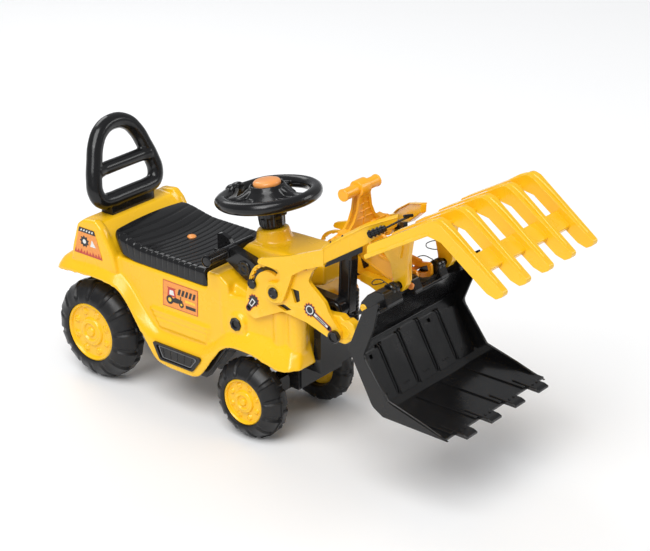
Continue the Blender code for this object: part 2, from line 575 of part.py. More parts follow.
def bucket_lever():
    """Yellow T-lever: crossbar, stem widening to a yoke on the boom, two struts to the bucket."""
    grip = rod("bucket_lever", (0.505, -0.0465, 0.450), (0.505, 0.0385, 0.450), 0.0095)
    join(grip, rod("boss", (0.505, -0.0135, 0.450), (0.505, 0.0095, 0.450), 0.0135))
    half = [(0.013, 0.445), (0.018, 0.418), (0.026, 0.402, 0.01), (0.040, 0.3885), (0.068, 0.3835), (0.068, 0.3755)]
    stem_outline = half + [(-x, z, *r) for x, z, *r in reversed(half)]
    stem = plate("stem", [rounded(stem_outline)], -0.5125, -0.4985)
    stem.data.transform(Matrix.Rotation(radians(90), 4, "Z"))
    join(grip, stem)
    for side in (-1, 1):
        y0, y1 = sorted((side * 0.0535, side * 0.0615))
        ear = rounded([(0.500, 0.386), (0.500, 0.354, 0.010), (0.524, 0.354, 0.010), (0.524, 0.378), (0.511, 0.388)])
        join(grip, plate("ear", [ear], y0, y1))
        y0, y1 = sorted((side * 0.0160, side * 0.0210))
        strut = rounded([(0.4992, 0.390), (0.4992, 0.354, 0.008), (0.530, 0.340), (0.575, 0.3235), (0.6130, 0.3218, 0.01),
                         (0.6305, 0.3285, 0.006), (0.6290, 0.3505, 0.006), (0.6120, 0.3470, 0.006), (0.560, 0.353),
                         (0.524, 0.376), (0.5118, 0.390)])
        slot = [(0.5890, 0.3300), (0.5980, 0.3284), (0.6085, 0.3286), (0.6150, 0.3306), (0.6245, 0.3352),
                (0.6218, 0.3448), (0.6120, 0.3402), (0.6060, 0.3384), (0.5980, 0.3378), (0.5905, 0.3392)]
        join(grip, plate("strut", [strut, slot], y0, y1))
    return cut(grip, hole_y(DIPPER_PIVOT, 0.0044, -0.2, 0.2, 12))


add(bucket_lever(), LEVER_PLASTIC, DIPPER)


# ---- bucket ------------------------------------------------------------------------------------
def bucket():
    """Scoop with a folded back, two cheek plates, a toothed lip and a hinge block on top."""
    wall = 0.0045
    back = [(0.643, 0.3275), (0.612, 0.312), (0.5855, 0.248), (0.634, 0.164), (0.652, 0.153), (0.770, 0.1515)]
    front = [(0.770, 0.1555), (0.6535, 0.1580), (0.6375, 0.1680), (0.5910, 0.2480), (0.6160, 0.3085), (0.6450, 0.3230)]
    scoop = plate("bucket", [back + front], -BUCKET_HALF + 0.001, BUCKET_HALF - 0.001)
    cheek = rounded([(0.6420, 0.3400), (0.6120, 0.3190, 0.006), (0.5850, 0.2480, 0.01), (0.6320, 0.1640, 0.02),
                     (0.6520, 0.1525), (0.7730, 0.1510), (0.7200, 0.1650), (0.6620, 0.1800, 0.01),
                     (0.6130, 0.2430, 0.012), (0.6330, 0.2950)])
    for side in (-1, 1):
        y0, y1 = sorted((side * (BUCKET_HALF - wall), side * BUCKET_HALF))
        join(scoop, plate("cheek", [cheek], y0, y1))
    block = rounded([(0.6445, 0.3235), (0.6435, 0.3290), (0.6340, 0.3500, 0.006), (0.6190, 0.3520, 0.006),
                     (0.5950, 0.3445, 0.006), (0.5870, 0.3250, 0.006), (0.5860, 0.2960), (0.6120, 0.3080)])
    for y0, y1 in ((-0.112, -0.0735), (-0.0425, -0.0240), (0.0240, 0.0425), (0.0735, 0.112)):
        join(scoop, plate("block", [block], y0, y1))
    for i in range(4):
        y = (i - 1.5) * 0.0640
        join(scoop, plate("tooth", [[(0.745, 0.1535), (0.745, 0.1595), (0.7930, 0.1565), (0.7930, 0.1530)]],
                          y - 0.013, y + 0.013))
    cut(scoop, hole_y(BUCKET_PIVOT, 0.0110, -0.0905, -0.0700), hole_y(BUCKET_PIVOT, 0.0054, -0.060, -0.0350, 12),
        hole_y(BUCKET_PIVOT, 0.0110, 0.0255, 0.0500), hole_y(BUCKET_PIVOT, 0.0054, 0.060, 0.0900, 12),
        hole_y(DIPPER_END, 0.0042, -0.0385, 0.0385, 12))
    return scoop


add(bucket(), BLACK_PLASTIC, BUCKET)
for word, y in (("right", -0.0900), ("left", 0.0260)):
    centre = [(BUCKET_PIVOT[0], y + step, BUCKET_PIVOT[1]) for step in (0, 0.0160, 0.0480)]
    head = rod(f"bucket_pin_{word}", centre[0], centre[1], 0.0105)
    add(join(head, rod("shaft", (centre[0][0], y + 0.004, centre[0][2]), centre[2], 0.005, steps=12)),
        BLACK_PLASTIC, BUCKET)
add(rod("bucket_lug_pin", (DIPPER_END[0], -0.038, DIPPER_END[1]), (DIPPER_END[0], 0.038, DIPPER_END[1]), 0.0038,
        steps=12), ORANGE_PLASTIC, BUCKET)


# ---- steering ----------------------------------------------------------------------------------
LEAN = Vector((-sin(COLUMN_TILT), 0, cos(COLUMN_TILT)))
WHEEL_HUB = Vector((COLUMN_TOP[0], 0, COLUMN_TOP[1])) + LEAN * 0.0425
RIM_R, RIM_TUBE = 0.0775, 0.0108
RIM_GAP = radians(24)                      # half of the opening that faces the rider


def on_wheel(radius, angle, height=0.0):
    """Point of the steering wheel's plane; angle 0 is forward."""
    ahead = Vector((cos(COLUMN_TILT), 0, sin(COLUMN_TILT)))
    return WHEEL_HUB + ahead * radius * cos(angle) + Vector((0, 1, 0)) * radius * sin(angle) + LEAN * height


def steering_wheel():
    """Open rim with curled ends, a dished hub with two broad spokes and a collar."""
    rim = bpy.data.curves.new("rim", "CURVE")
    rim.dimensions = "3D"
    rim.bevel_depth = RIM_TUBE
    rim.bevel_resolution = 2
    rim.use_fill_caps = True
    rim.resolution_u = 2
    spline = rim.splines.new("POLY")
    steps = 28
    path = [on_wheel(RIM_R, -pi + RIM_GAP + (2 * pi - 2 * RIM_GAP) * k / steps, 0.006) for k in range(steps + 1)]
    path = [on_wheel(RIM_R - 0.012, -pi + RIM_GAP * 0.86, 0.012)] + path + [on_wheel(RIM_R - 0.012, pi - RIM_GAP * 0.86,
                                                                                 0.012)]
    spline.points.add(len(path) - 1)
    for point, place in zip(spline.points, path):
        point.co = (*place, 1)
    wheel_rim = meshed("steering_wheel", bpy.data.objects.new("steering_wheel", rim))
    hub = rod("hub", WHEEL_HUB - LEAN * 0.010, WHEEL_HUB + LEAN * 0.0205, 0.034, 0.0240, 20)
    for angle in (-radians(118), radians(118), 0):
        spoke = rod("spoke", on_wheel(0.010, angle, 0.002), on_wheel(RIM_R - 0.002, angle, 0.004), 0.0095, steps=8)
        join(hub, spoke)
    join(wheel_rim, hub, rod("collar", WHEEL_HUB - LEAN * 0.0420, WHEEL_HUB - LEAN * 0.005, 0.0195, 0.0235, 20))
    return cut(wheel_rim, rod("well", WHEEL_HUB + LEAN * 0.0148, WHEEL_HUB + LEAN * 0.03, 0.0205, steps=20,
                              coll=CUTTERS),
               rod("bore", WHEEL_HUB - LEAN * 0.06, WHEEL_HUB - LEAN * 0.004, 0.0064, steps=12, coll=CUTTERS))


add(steering_wheel(), BLACK_PLASTIC, STEER)
HORN = body("horn_axis", tuple(WHEEL_HUB + LEAN * 0.0220), STEER)
add(rod("horn_button", WHEEL_HUB + LEAN * 0.0185, WHEEL_HUB + LEAN * 0.0275, 0.0200, 0.0170, 20), ORANGE_PLASTIC, HORN)
add(rod("steering_column", WHEEL_HUB - LEAN * 0.110, WHEEL_HUB - LEAN * 0.0044, 0.006, steps=12), AXLE_STEEL, STEER)


def front_carrier():
    """Beam that holds the front axle and turns on a kingpin in the chassis."""
    beam = box("front_carrier", (STEER_X - 0.011, STEER_X + 0.011), (-0.064, 0.064), (0.056, 0.083))
    join(beam, rod("kingpin", (STEER_X, 0, 0.075), (STEER_X, 0, 0.165), 0.008, steps=12))
    return cut(beam, hole_y((STEER_X, FRONT_R), AXLE_R + GAP, -0.2, 0.2, 12))


add(front_carrier(), BLACK_PLASTIC, CARRIER)
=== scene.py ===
"""Looks of the ride on digger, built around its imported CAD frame.

Every outline is in the layout frame (metres): rear axle at x = 0, +X forward, +Y to the rider's left,
+Z up. place() moves a finished piece by X0 into the row frame and hands it to a body.
"""

import json
from math import atan2, cos, hypot, pi, radians, sin

import bmesh
import bpy
from mathutils import Matrix, Vector


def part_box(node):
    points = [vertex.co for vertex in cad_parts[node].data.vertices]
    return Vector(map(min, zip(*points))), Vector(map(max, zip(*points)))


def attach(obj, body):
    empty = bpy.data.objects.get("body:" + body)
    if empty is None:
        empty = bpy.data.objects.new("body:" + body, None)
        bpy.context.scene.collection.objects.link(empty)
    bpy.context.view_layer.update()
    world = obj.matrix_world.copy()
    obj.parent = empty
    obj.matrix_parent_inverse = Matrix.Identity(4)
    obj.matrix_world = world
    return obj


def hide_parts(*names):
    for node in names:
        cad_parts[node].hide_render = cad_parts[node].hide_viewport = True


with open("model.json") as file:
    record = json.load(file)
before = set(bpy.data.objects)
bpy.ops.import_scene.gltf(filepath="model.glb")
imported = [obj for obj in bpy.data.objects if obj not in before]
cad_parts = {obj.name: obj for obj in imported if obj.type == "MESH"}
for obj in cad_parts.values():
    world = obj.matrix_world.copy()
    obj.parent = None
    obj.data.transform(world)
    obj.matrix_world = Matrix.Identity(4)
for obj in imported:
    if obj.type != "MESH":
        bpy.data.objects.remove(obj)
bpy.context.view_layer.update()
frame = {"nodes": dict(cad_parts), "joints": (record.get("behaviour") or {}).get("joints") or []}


def middle(node):
    low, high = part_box(node)
    return (low + high) / 2


X0 = middle("rear_axle").x
WHEELBASE = middle("front_axle").x - X0
REAR_R = middle("rear_axle").z
FRONT_R = middle("front_axle").z


def joint_at(name):
    """A joint's point, in the layout frame."""
    point = next(j for j in frame["joints"] if j["name"] == name)["pos_m"]
    return Vector((point[0] - X0, point[1], point[2]))


BOOM_PIVOT = joint_at("boom_hinge")
LEVER_PIVOT = joint_at("lift_lever_hinge")
DIPPER_PIVOT = joint_at("bucket_lever_hinge")
BUCKET_PIVOT = joint_at("bucket_hinge")
COLUMN_TOP = joint_at("steering_hinge")
TILT = radians(9)
LEAN = Vector((-sin(TILT), 0, cos(TILT)))


# ---- camera, light, floor ----------------------------------------------------------------------
def stage():
    """Camera three quarters from the front, pale floor, soft boxes."""
    azimuth, elevation, distance = radians(39.11), radians(24.07), 3.149
    back = Vector((sin(azimuth) * cos(elevation), -cos(azimuth) * cos(elevation), sin(elevation)))
    target = Vector((0.4325 + X0, 0, 0.28))
    data = bpy.data.cameras.new("camera")
    data.lens, data.sensor_width = 109.03, 36
    camera = bpy.data.objects.new("camera", data)
    camera.location = target + back * distance
    camera.rotation_euler = back.to_track_quat("Z", "Y").to_euler()
    bpy.context.scene.collection.objects.link(camera)
    bpy.context.scene.camera = camera

    bpy.context.scene.view_settings.view_transform = "Standard"

    world = bpy.data.worlds.new("studio")
    world.use_nodes = True
    sky = world.node_tree.nodes["Background"]
    sky.inputs["Color"].default_value = (0.95, 0.97, 1.0, 1)
    sky.inputs["Strength"].default_value = 0.34
    bpy.context.scene.world = world
    sun = bpy.data.lights.new("overhead", "SUN")
    sun.energy, sun.angle = 2.1, radians(42)
    lamps = [("overhead", sun, (0.25, -0.75, 1.5))]
    for name, spot, size, power in (("key", (0.6, -2.4, 2.1), 1.1, 16), ("rim", (1.8, 1.9, 1.6), 1.0, 12),
            ("back", (-2.0, 0.6, 1.9), 1.2, 14)):
        lamp = bpy.data.lights.new(name, "AREA")
        lamp.shape, lamp.size, lamp.energy = "SQUARE", size, power
        lamps.append((name, lamp, spot))
    for name, lamp, spot in lamps:
        holder = bpy.data.objects.new(name, lamp)
        holder.location = spot
        holder.rotation_euler = (Vector(spot) - Vector((0, 0, 0.2))).to_track_quat("Z", "Y").to_euler()
        bpy.context.scene.collection.objects.link(holder)

    bm = bmesh.new()
    bmesh.ops.create_grid(bm, x_segments=1, y_segments=1, size=9)
    floor = object_from(bm, "floor")
    floor.location.z = -0.0006
    white = bpy.data.materials.new("floor_white")
    white.use_nodes = True
    shader = white.node_tree.nodes["Principled BSDF"]
    shader.inputs["Base Color"].default_value = (0.93, 0.93, 0.93, 1)
    shader.inputs["Roughness"].default_value = 0.7
    floor.data.materials.append(white)


# ---- materials ---------------------------------------------------------------------------------
class Nodes:
    """Short-hand for building a material's node tree."""

    def __init__(self, name):
        self.material = bpy.data.materials.new(name)
        self.material.use_nodes = True
        self.tree = self.material.node_tree
        self.shader = self.tree.nodes["Principled BSDF"]
        self.place = self.tree.nodes.new("ShaderNodeTexCoord").outputs["Object"]

    def noise(self, scale, detail=3.0, stretch=None):
        node = self.tree.nodes.new("ShaderNodeTexNoise")
        node.inputs["Scale"].default_value = scale
        node.inputs["Detail"].default_value = detail
        place = self.place
        if stretch:
            mapping = self.tree.nodes.new("ShaderNodeMapping")
            mapping.inputs["Scale"].default_value = stretch
            self.tree.links.new(place, mapping.inputs["Vector"])
            place = mapping.outputs["Vector"]
        self.tree.links.new(place, node.inputs["Vector"])
        return node.outputs["Fac"]

    def ramp(self, value, low, high, out_low=0.0, out_high=1.0):
        node = self.tree.nodes.new("ShaderNodeMapRange")
        for key, number in (("From Min", low), ("From Max", high), ("To Min", out_low), ("To Max", out_high)):
            node.inputs[key].default_value = number
        self.tree.links.new(value, node.inputs["Value"])
        return node.outputs["Result"]

    def mix(self, factor, first, second):
        node = self.tree.nodes.new("ShaderNodeMix")
        node.data_type = "RGBA"
        self.tree.links.new(factor, node.inputs["Factor"])
        for key, colour in (("A", first), ("B", second)):
            socket = next(s for s in node.inputs if s.name == key and s.type == "RGBA")
            if isinstance(colour, tuple):
                socket.default_value = (*colour, 1)
            else:
                self.tree.links.new(colour, socket)
        return next(s for s in node.outputs if s.type == "RGBA")

    def edges(self):
        """1 on worn convex edges, 0 elsewhere."""
        geometry = self.tree.nodes.new("ShaderNodeNewGeometry")
        return self.ramp(geometry.outputs["Pointiness"], 0.52, 0.62)

    def times(self, first, second):
        node = self.tree.nodes.new("ShaderNodeMath")
        node.operation = "MULTIPLY"
        for socket, value in zip(node.inputs, (first, second)):
            if isinstance(value, float):
                socket.default_value = value
            else:
                self.tree.links.new(value, socket)
        return node.outputs["Value"]

    def bump(self, heights):
        """Chain of (height, strength, distance) bumps."""
        last = None
        for height, strength, distance in heights:
            node = self.tree.nodes.new("ShaderNodeBump")
            node.inputs["Strength"].default_value = strength
            node.inputs["Distance"].default_value = distance
            self.tree.links.new(height, node.inputs["Height"])
            if last:
                self.tree.links.new(last, node.inputs["Normal"])
            last = node.outputs["Normal"]
        self.tree.links.new(last, self.shader.inputs["Normal"])

    def join(self, value, socket):
        self.tree.links.new(value, self.shader.inputs[socket])


def moulded_plastic(name, colour, deep, worn, rough, gloss=0.5, coat=0.3):
    """Injection-moulded plastic: slow colour drift, orange peel, fine scratches, paler rubbed edges."""
    n = Nodes(name)
    drift = n.mix(n.ramp(n.noise(7, 2), 0.35, 0.65), colour, deep)
    rubbed = n.times(n.edges(), n.ramp(n.noise(60, 4), 0.42, 0.62))
    n.join(n.mix(n.times(rubbed, 0.22), drift, worn), "Base Color")
    scuffs = n.ramp(n.noise(24, 5), 0.5, 0.75, rough, rough + 0.09)
    n.join(scuffs, "Roughness")
    n.bump([(n.noise(420, 2), 0.1, 0.0002), (n.noise(30, 1), 0.04, 0.0005)])
    n.shader.inputs["IOR"].default_value = 1.5
    n.shader.inputs["Specular IOR Level"].default_value = gloss
    n.shader.inputs["Coat Weight"].default_value = coat
    n.shader.inputs["Coat Roughness"].default_value = 0.1
    return n.material


def tyre_plastic():
    """Blow-moulded satin plastic: fine pebble grain and dusty crown."""
    n = Nodes("tyre_plastic")
    dusty = n.ramp(n.noise(14, 5), 0.45, 0.8)
    n.join(n.mix(n.times(dusty, 0.35), (0.01, 0.01, 0.011), (0.04, 0.038, 0.035)), "Base Color")
    n.shader.inputs["Specular IOR Level"].default_value = 0.34
    n.join(n.ramp(n.noise(40, 4), 0.3, 0.7, 0.3, 0.44), "Roughness")
    n.bump([(n.noise(650, 2), 0.3, 0.0003), (n.noise(60, 2), 0.15, 0.0006)])
    return n.material


def steel():
    n = Nodes("axle_steel")
    n.join(n.mix(n.ramp(n.noise(90, 3), 0.4, 0.7), (0.56, 0.56, 0.58), (0.4, 0.39, 0.38)), "Base Color")
    n.join(n.ramp(n.noise(300, 2, (1, 0.05, 1)), 0.3, 0.7, 0.22, 0.38), "Roughness")
    n.shader.inputs["Metallic"].default_value = 1.0
    n.bump([(n.noise(500, 1, (1, 0.04, 1)), 0.15, 0.0002)])
    return n.material


def printed(name, colour, rough=0.42):
    """Ink of a printed film: faint mottling and a slightly uneven gloss."""
    n = Nodes(name)
    darker = tuple(c * 0.86 for c in colour)
    n.join(n.mix(n.ramp(n.noise(220, 3), 0.4, 0.7), colour, darker), "Base Color")
    n.join(n.ramp(n.noise(120, 2), 0.3, 0.7, rough - 0.08, rough + 0.08), "Roughness")
    n.bump([(n.noise(700, 2), 0.12, 0.0001)])
    return n.material


YELLOW = moulded_plastic("yellow_plastic", (0.955, 0.545, 0.01), (0.93, 0.515, 0.008), (1.0, 0.72, 0.18),
    0.25, 0.42, 0.22)
# The bucket lever is the body's yellow plastic. This more orange copy is painted shade: it stands in for the
# orange cast that subsurface light and interreflection give that plastic.
SHADED_YELLOW = moulded_plastic("lever_plastic", (0.97, 0.45, 0.012), (0.95, 0.42, 0.01), (1.0, 0.62, 0.14), 0.28,
    0.42, 0.22)
BLACK = moulded_plastic("black_plastic", (0.0075, 0.0075, 0.0082), (0.0095, 0.0095, 0.01),
    (0.04, 0.04, 0.042), 0.21, 0.3, 0.2)
ORANGE = moulded_plastic("orange_plastic", (0.93, 0.36, 0.085), (0.9, 0.33, 0.07), (1.0, 0.55, 0.25), 0.34)
TYRE = tyre_plastic()
STEEL = steel()
INK_ORANGE = printed("ink_orange", (0.9, 0.33, 0.07))
INK_BLACK = printed("ink_black", (0.02, 0.02, 0.022))
INK_WHITE = printed("ink_white", (0.82, 0.82, 0.8))
INK_RED = printed("ink_red", (0.55, 0.06, 0.04))
INK_YELLOW = printed("ink_yellow", (0.95, 0.6, 0.05))
# grey of the thin ring inside the footrest pads' frames: a painted highlight for light caught on the rim's
# bevel, given the printed-ink finish
RIM_HIGHLIGHT_GREY = printed("rim_highlight_grey", (0.2, 0.2, 0.21))


# ---- mesh helpers ------------------------------------------------------------------------------
def object_from(bm, name):
    mesh = bpy.data.meshes.new(name)
    bm.to_mesh(mesh)
    bm.free()
    obj = bpy.data.objects.new(name, mesh)
    bpy.context.scene.collection.objects.link(obj)
    return obj


def applied(obj):
    """Apply an object's modifiers and its transform."""
    bpy.context.view_layer.update()
    ready = obj.evaluated_get(bpy.context.evaluated_depsgraph_get())
    mesh = bpy.data.meshes.new_from_object(ready)
    mesh.transform(obj.matrix_world)
    obj.modifiers.clear()
    if obj.type != "MESH":
        name = obj.name
        bpy.data.objects.remove(obj)
        obj = bpy.data.objects.new(name, mesh)
        bpy.context.scene.collection.objects.link(obj)
        return obj
    obj.data = mesh
    obj.matrix_world = Matrix.Identity(4)
    return obj


def corners(points, segments=4):
    """Outline whose corners (u, v, radius) become arcs; a corner without a radius stays sharp."""
    out = []
    for i, corner in enumerate(points):
        here = Vector(corner[:2])
        radius = corner[2] if len(corner) > 2 else 0
        if not radius:
            out.append(here)
            continue
        before = (Vector(points[i - 1][:2]) - here).normalized()
        after = (Vector(points[(i + 1) % len(points)][:2]) - here).normalized()
        half = before.angle(after) / 2
        start = here + before * radius / (sin(half) / cos(half))
        centre = here + (before + after).normalized() * radius / sin(half)
        turn = (start - centre).angle_signed(here + after * radius / (sin(half) / cos(half)) - centre)
        out += [centre + Matrix.Rotation(-turn * k / segments, 2) @ (start - centre)
                for k in range(segments + 1)]
    return out


def polar(radius, angle, centre=(0, 0)):
    return centre[0] + radius * cos(angle), centre[1] + radius * sin(angle)


def ring_points(centre, radius, steps=24, start=0.0, sweep=2 * pi):
    """Points of a circle, or of an arc with both its ends."""
    return [polar(radius, start + sweep * k / steps, centre)
            for k in range(steps + (0 if sweep == 2 * pi else 1))]


def ring(bm, radius, height, steps):
    """A circle of new vertices about the z axis; one vertex where the radius is nothing."""
    if radius < 1e-6:
        return [bm.verts.new((0, 0, height))]
    return [bm.verts.new((*polar(radius, 2 * pi * k / steps), height)) for k in range(steps)]


def bridge(bm, low, high, closed=True):
    """Faces between two rings or open lines of vertices; a ring of one vertex gives a fan."""
    count = max(len(low), len(high))
    for k in range(count if closed else count - 1):
        quad = [low[k % len(low)], low[(k + 1) % len(low)], high[(k + 1) % len(high)], high[k % len(high)]]
        face = list(dict.fromkeys(quad))
        if len(face) > 2:
            bm.faces.new(face)


def aimed(obj, start, axis):
    """Turn a piece's z axis along axis, move it to start and apply both."""
    obj.rotation_euler = Vector(axis).to_track_quat("Z", "Y").to_euler()
    obj.location = start
    return applied(obj)


def prism(name, outline, y0, y1, holes=(), soft=0.0015, steps=3):
    """Outline in the x-z plane, as corners() takes it, with optional holes, from y0 to y1, edges rounded."""
    curve = bpy.data.curves.new(name, "CURVE")
    curve.dimensions, curve.fill_mode = "2D", "BOTH"
    curve.extrude = abs(y1 - y0) / 2
    for points in map(corners, (outline, *holes)):
        spline = curve.splines.new("POLY")
        spline.points.add(len(points) - 1)
        for point, corner in zip(spline.points, points):
            point.co = (corner[0], corner[1], 0, 1)
        spline.use_cyclic_u = True
    flat = bpy.data.objects.new(name, curve)
    flat.rotation_euler.x = radians(90)
    flat.location.y = (y0 + y1) / 2
    bpy.context.scene.collection.objects.link(flat)
    obj = applied(flat)
    return softened(obj, soft, steps) if soft else welded(obj)


def welded(obj):
    bm = bmesh.new()
    bm.from_mesh(obj.data)
    bmesh.ops.remove_doubles(bm, verts=bm.verts, dist=0.00002)
    bmesh.ops.recalc_face_normals(bm, faces=bm.faces)
    bm.to_mesh(obj.data)
    bm.free()
    return obj


def softened(obj, width, segments=3):
    """Round every edge sharper than 28 degrees."""
    welded(obj)
    bm = bmesh.new()
    bm.from_mesh(obj.data)
    bmesh.ops.dissolve_limit(bm, angle_limit=radians(1), verts=bm.verts, edges=bm.edges)
    bm.to_mesh(obj.data)
    bm.free()
    bevel = obj.modifiers.new("soft", "BEVEL")
    bevel.width, bevel.segments, bevel.limit_method = width, segments, "ANGLE"
    bevel.angle_limit = radians(28)
    bevel.harden_normals = True
    return applied(obj)


def block(name, x, y, z, soft=0.0015):
    bm = bmesh.new()
    bmesh.ops.create_cube(bm, size=1)
    bmesh.ops.scale(bm, verts=bm.verts, vec=(x[1] - x[0], y[1] - y[0], z[1] - z[0]))
    bmesh.ops.translate(bm, verts=bm.verts, vec=((x[0] + x[1]) / 2, (y[0] + y[1]) / 2, (z[0] + z[1]) / 2))
    obj = object_from(bm, name)
    return softened(obj, soft) if soft else obj


def lathe(name, profile, start, axis, steps=48):
    """Turn a profile of (radius, height along axis) about the axis through start."""
    bm = bmesh.new()
    rings = [ring(bm, radius, height, steps) for radius, height in profile]
    for low, high in zip(rings, rings[1:]):
        bridge(bm, low, high)
    bmesh.ops.recalc_face_normals(bm, faces=bm.faces)
    return aimed(object_from(bm, name), start, axis)


def rounded_rod(name, start, end, radius, end_radius=None, soft=0.002, steps=28):
    """Rod with rounded ends."""
    start, end = Vector(start), Vector(end)
    length = (end - start).length
    last = radius if end_radius is None else end_radius
    quarter = [radians(30 * k) for k in range(4)]
    profile = [(0, 0)] + [(radius - soft + soft * sin(a), soft - soft * cos(a)) for a in quarter]
    profile += [(last - soft + soft * cos(a), length - soft + soft * sin(a)) for a in quarter] + [(0, length)]
    return lathe(name, profile, start, end - start, steps)


def tube(name, points, radius, closed=False, resolution=8, radii=None, smooth=True):
    """Round tube along points, smoothed through them."""
    curve = bpy.data.curves.new(name, "CURVE")
    curve.dimensions = "3D"
    curve.bevel_depth, curve.bevel_resolution = radius, 5
    curve.use_fill_caps = True
    curve.resolution_u = resolution
    spline = curve.splines.new("BEZIER" if smooth else "POLY")
    if smooth:
        spline.bezier_points.add(len(points) - 1)
        for i, (point, place) in enumerate(zip(spline.bezier_points, points)):
            point.co = place
            point.handle_left_type = point.handle_right_type = "AUTO"
            point.radius = radii[i] if radii else 1
    else:
        spline.points.add(len(points) - 1)
        for point, place in zip(spline.points, points):
            point.co = (*place, 1)
    spline.use_cyclic_u = closed
    obj = bpy.data.objects.new(name, curve)
    bpy.context.scene.collection.objects.link(obj)
    return applied(obj)


def joined(name, *objects):
    """One mesh object from several."""
    bm = bmesh.new()
    for obj in objects:
        bm.from_mesh(obj.data)
    for obj in objects:
        bpy.data.objects.remove(obj)
    return object_from(bm, name)


def cast(obj, voxel, rounds):
    """Fuse overlapping solids into one soft-edged moulding."""
    remesh = obj.modifiers.new("fuse", "REMESH")
    remesh.mode, remesh.voxel_size = "VOXEL", voxel
    smooth = obj.modifiers.new("soften", "SMOOTH")
    smooth.iterations, smooth.factor = rounds, 0.5
    return applied(obj)


def place(obj, material, body, *nodes, angle=38):
    """Move a finished piece into the row frame, give it its finish and hand it to its body.

    Edges sharper than angle stay sharp; a cast piece, at 60 or more, keeps its own normals.
    """
    obj.data.transform(Matrix.Translation((X0, 0, 0)))
    obj.data.materials.clear()
    obj.data.materials.append(material)
    obj.data.shade_smooth()
    obj.data.set_sharp_from_angle(angle=radians(angle))
    if angle < 60:
        even = obj.modifiers.new("even", "WEIGHTED_NORMAL")
        even.keep_sharp = True
        applied(obj)
    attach(obj, body)
    if nodes:
        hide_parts(*nodes)
    return obj


SIDES = (("right", -1), ("left", 1))


def span(side, near, far):
    """The y range between two distances from the centre line, on one side."""
    return sorted((side * near, side * far))


stage()


# ---- wheels ------------------------------------------------------------------------------------
def smooth_step(value):
    value = min(1, max(0, value))
    return value * value * (3 - 2 * value)


def tyre(name, radius, rim, width, lugs, start, side):
    """Blow-moulded tyre: soft lug blocks on both shoulders, half a pitch apart, with grooves between."""
    bulge = radius - rim
    groove_depth, swell_height, steps = 0.0046, 0.0009, lugs * 12
    section = [(rim + 0.0004, 0.0012, 0), (rim + 0.06 * bulge, 0.0026, 0), (rim + 0.18 * bulge, 0.0034, 0.1),
        (rim + 0.32 * bulge, 0.0024, 0.7), (rim + 0.46 * bulge, 0.0002, 1), (rim + 0.58 * bulge, -0.0022, 1),
        (rim + 0.7 * bulge, -0.0052, 1), (rim + 0.82 * bulge, -0.0095, 1), (rim + 0.92 * bulge, -0.015, 1),
        (radius - 0.0004, -0.0205, 1), (radius, -0.42 * width, 1), (radius, -0.49 * width, 1),
        (radius, -0.53 * width, -1), (radius, -0.62 * width, -1), (radius, -0.76 * width, -1),
        (rim + 0.9 * bulge, -0.86 * width, -1), (rim + 0.76 * bulge, -0.93 * width, -1),
        (rim + 0.55 * bulge, -0.975 * width, -0.8), (rim + 0.3 * bulge, -0.995 * width, -0.2),
        (rim + 0.1 * bulge, -width, 0), (rim + 0.0004, -width + 0.003, 0)]
    bm = bmesh.new()
    rings = []
    for k in range(steps):
        angle = 2 * pi * k / steps
        rings.append([])
        for r, along, weight in section:
            phase = (lugs * angle / (2 * pi) + (0.5 if weight < 0 else 0)) % 1
            groove = smooth_step((0.17 - abs(phase - 0.5)) / 0.1)
            swell = swell_height * cos(2 * pi * phase)
            sink = abs(weight) * (groove_depth * groove + swell)
            r_here = r - sink * (0.35 + 0.65 * smooth_step((r - rim) / bulge))
            shoulder = 1 if weight > 0 else -1
            along_here = along - sink * 0.8 * (1 - smooth_step((r - rim) / bulge * 1.1)) * shoulder
            rings[-1].append(bm.verts.new((*polar(r_here, angle), along_here)))
    for low, high in zip(rings, rings[1:] + rings[:1]):
        bridge(bm, low, high)
    bmesh.ops.recalc_face_normals(bm, faces=bm.faces)
    return aimed(object_from(bm, name), start, (0, side, 0))


def hubcap(name, rim, depth, start, side):
    """Pressed-in disc: beaded rim, a ring of round bosses with dimples, a raised hub with a cap."""
    bosses, boss_ring, boss_r = 8, 0.7 * rim, 0.115 * rim
    steps, rings = 96, 42

    def height(r, angle):
        share = r / rim
        bead = 0.0014 * (1 - smooth_step(abs(share - 0.95) / 0.05))
        dish = -0.0046 * smooth_step((0.92 - share) / 0.05) * smooth_step((share - 0.46) / 0.05)
        hub = 0.0012 * smooth_step((0.4 - share) / 0.04)
        well = -0.003 * smooth_step((0.3 - share) / 0.03) + 0.0036 * smooth_step((0.17 - share) / 0.04)
        turn = (angle * bosses / (2 * pi)) % 1 - 0.5
        gap = hypot(r - boss_ring, turn * 2 * pi / bosses * boss_ring) / boss_r
        boss = 0.003 * smooth_step((1.08 - gap) / 0.35) - 0.0016 * smooth_step((0.45 - gap) / 0.25)
        return bead + dish + hub + well + boss

    bm = bmesh.new()
    last = [bm.verts.new((0, 0, height(0, 0)))]
    for j in range(1, rings + 1):
        r = rim * j / rings
        circle = [bm.verts.new((*polar(r, 2 * pi * k / steps), height(r, 2 * pi * k / steps)))
                  for k in range(steps)]
        bridge(bm, last, circle)
        last = circle
    back = ((rim, -0.7 * depth), (0.5 * rim, -0.7 * depth), (0.42 * rim, -0.97 * depth),
        (0.007, -0.97 * depth))
    for r, along in back:
        circle = ring(bm, r, along, steps)
        bridge(bm, last, circle)
        last = circle
    bm.faces.new(last)
    bmesh.ops.recalc_face_normals(bm, faces=bm.faces)
    return aimed(object_from(bm, name), start, (0, side, 0))


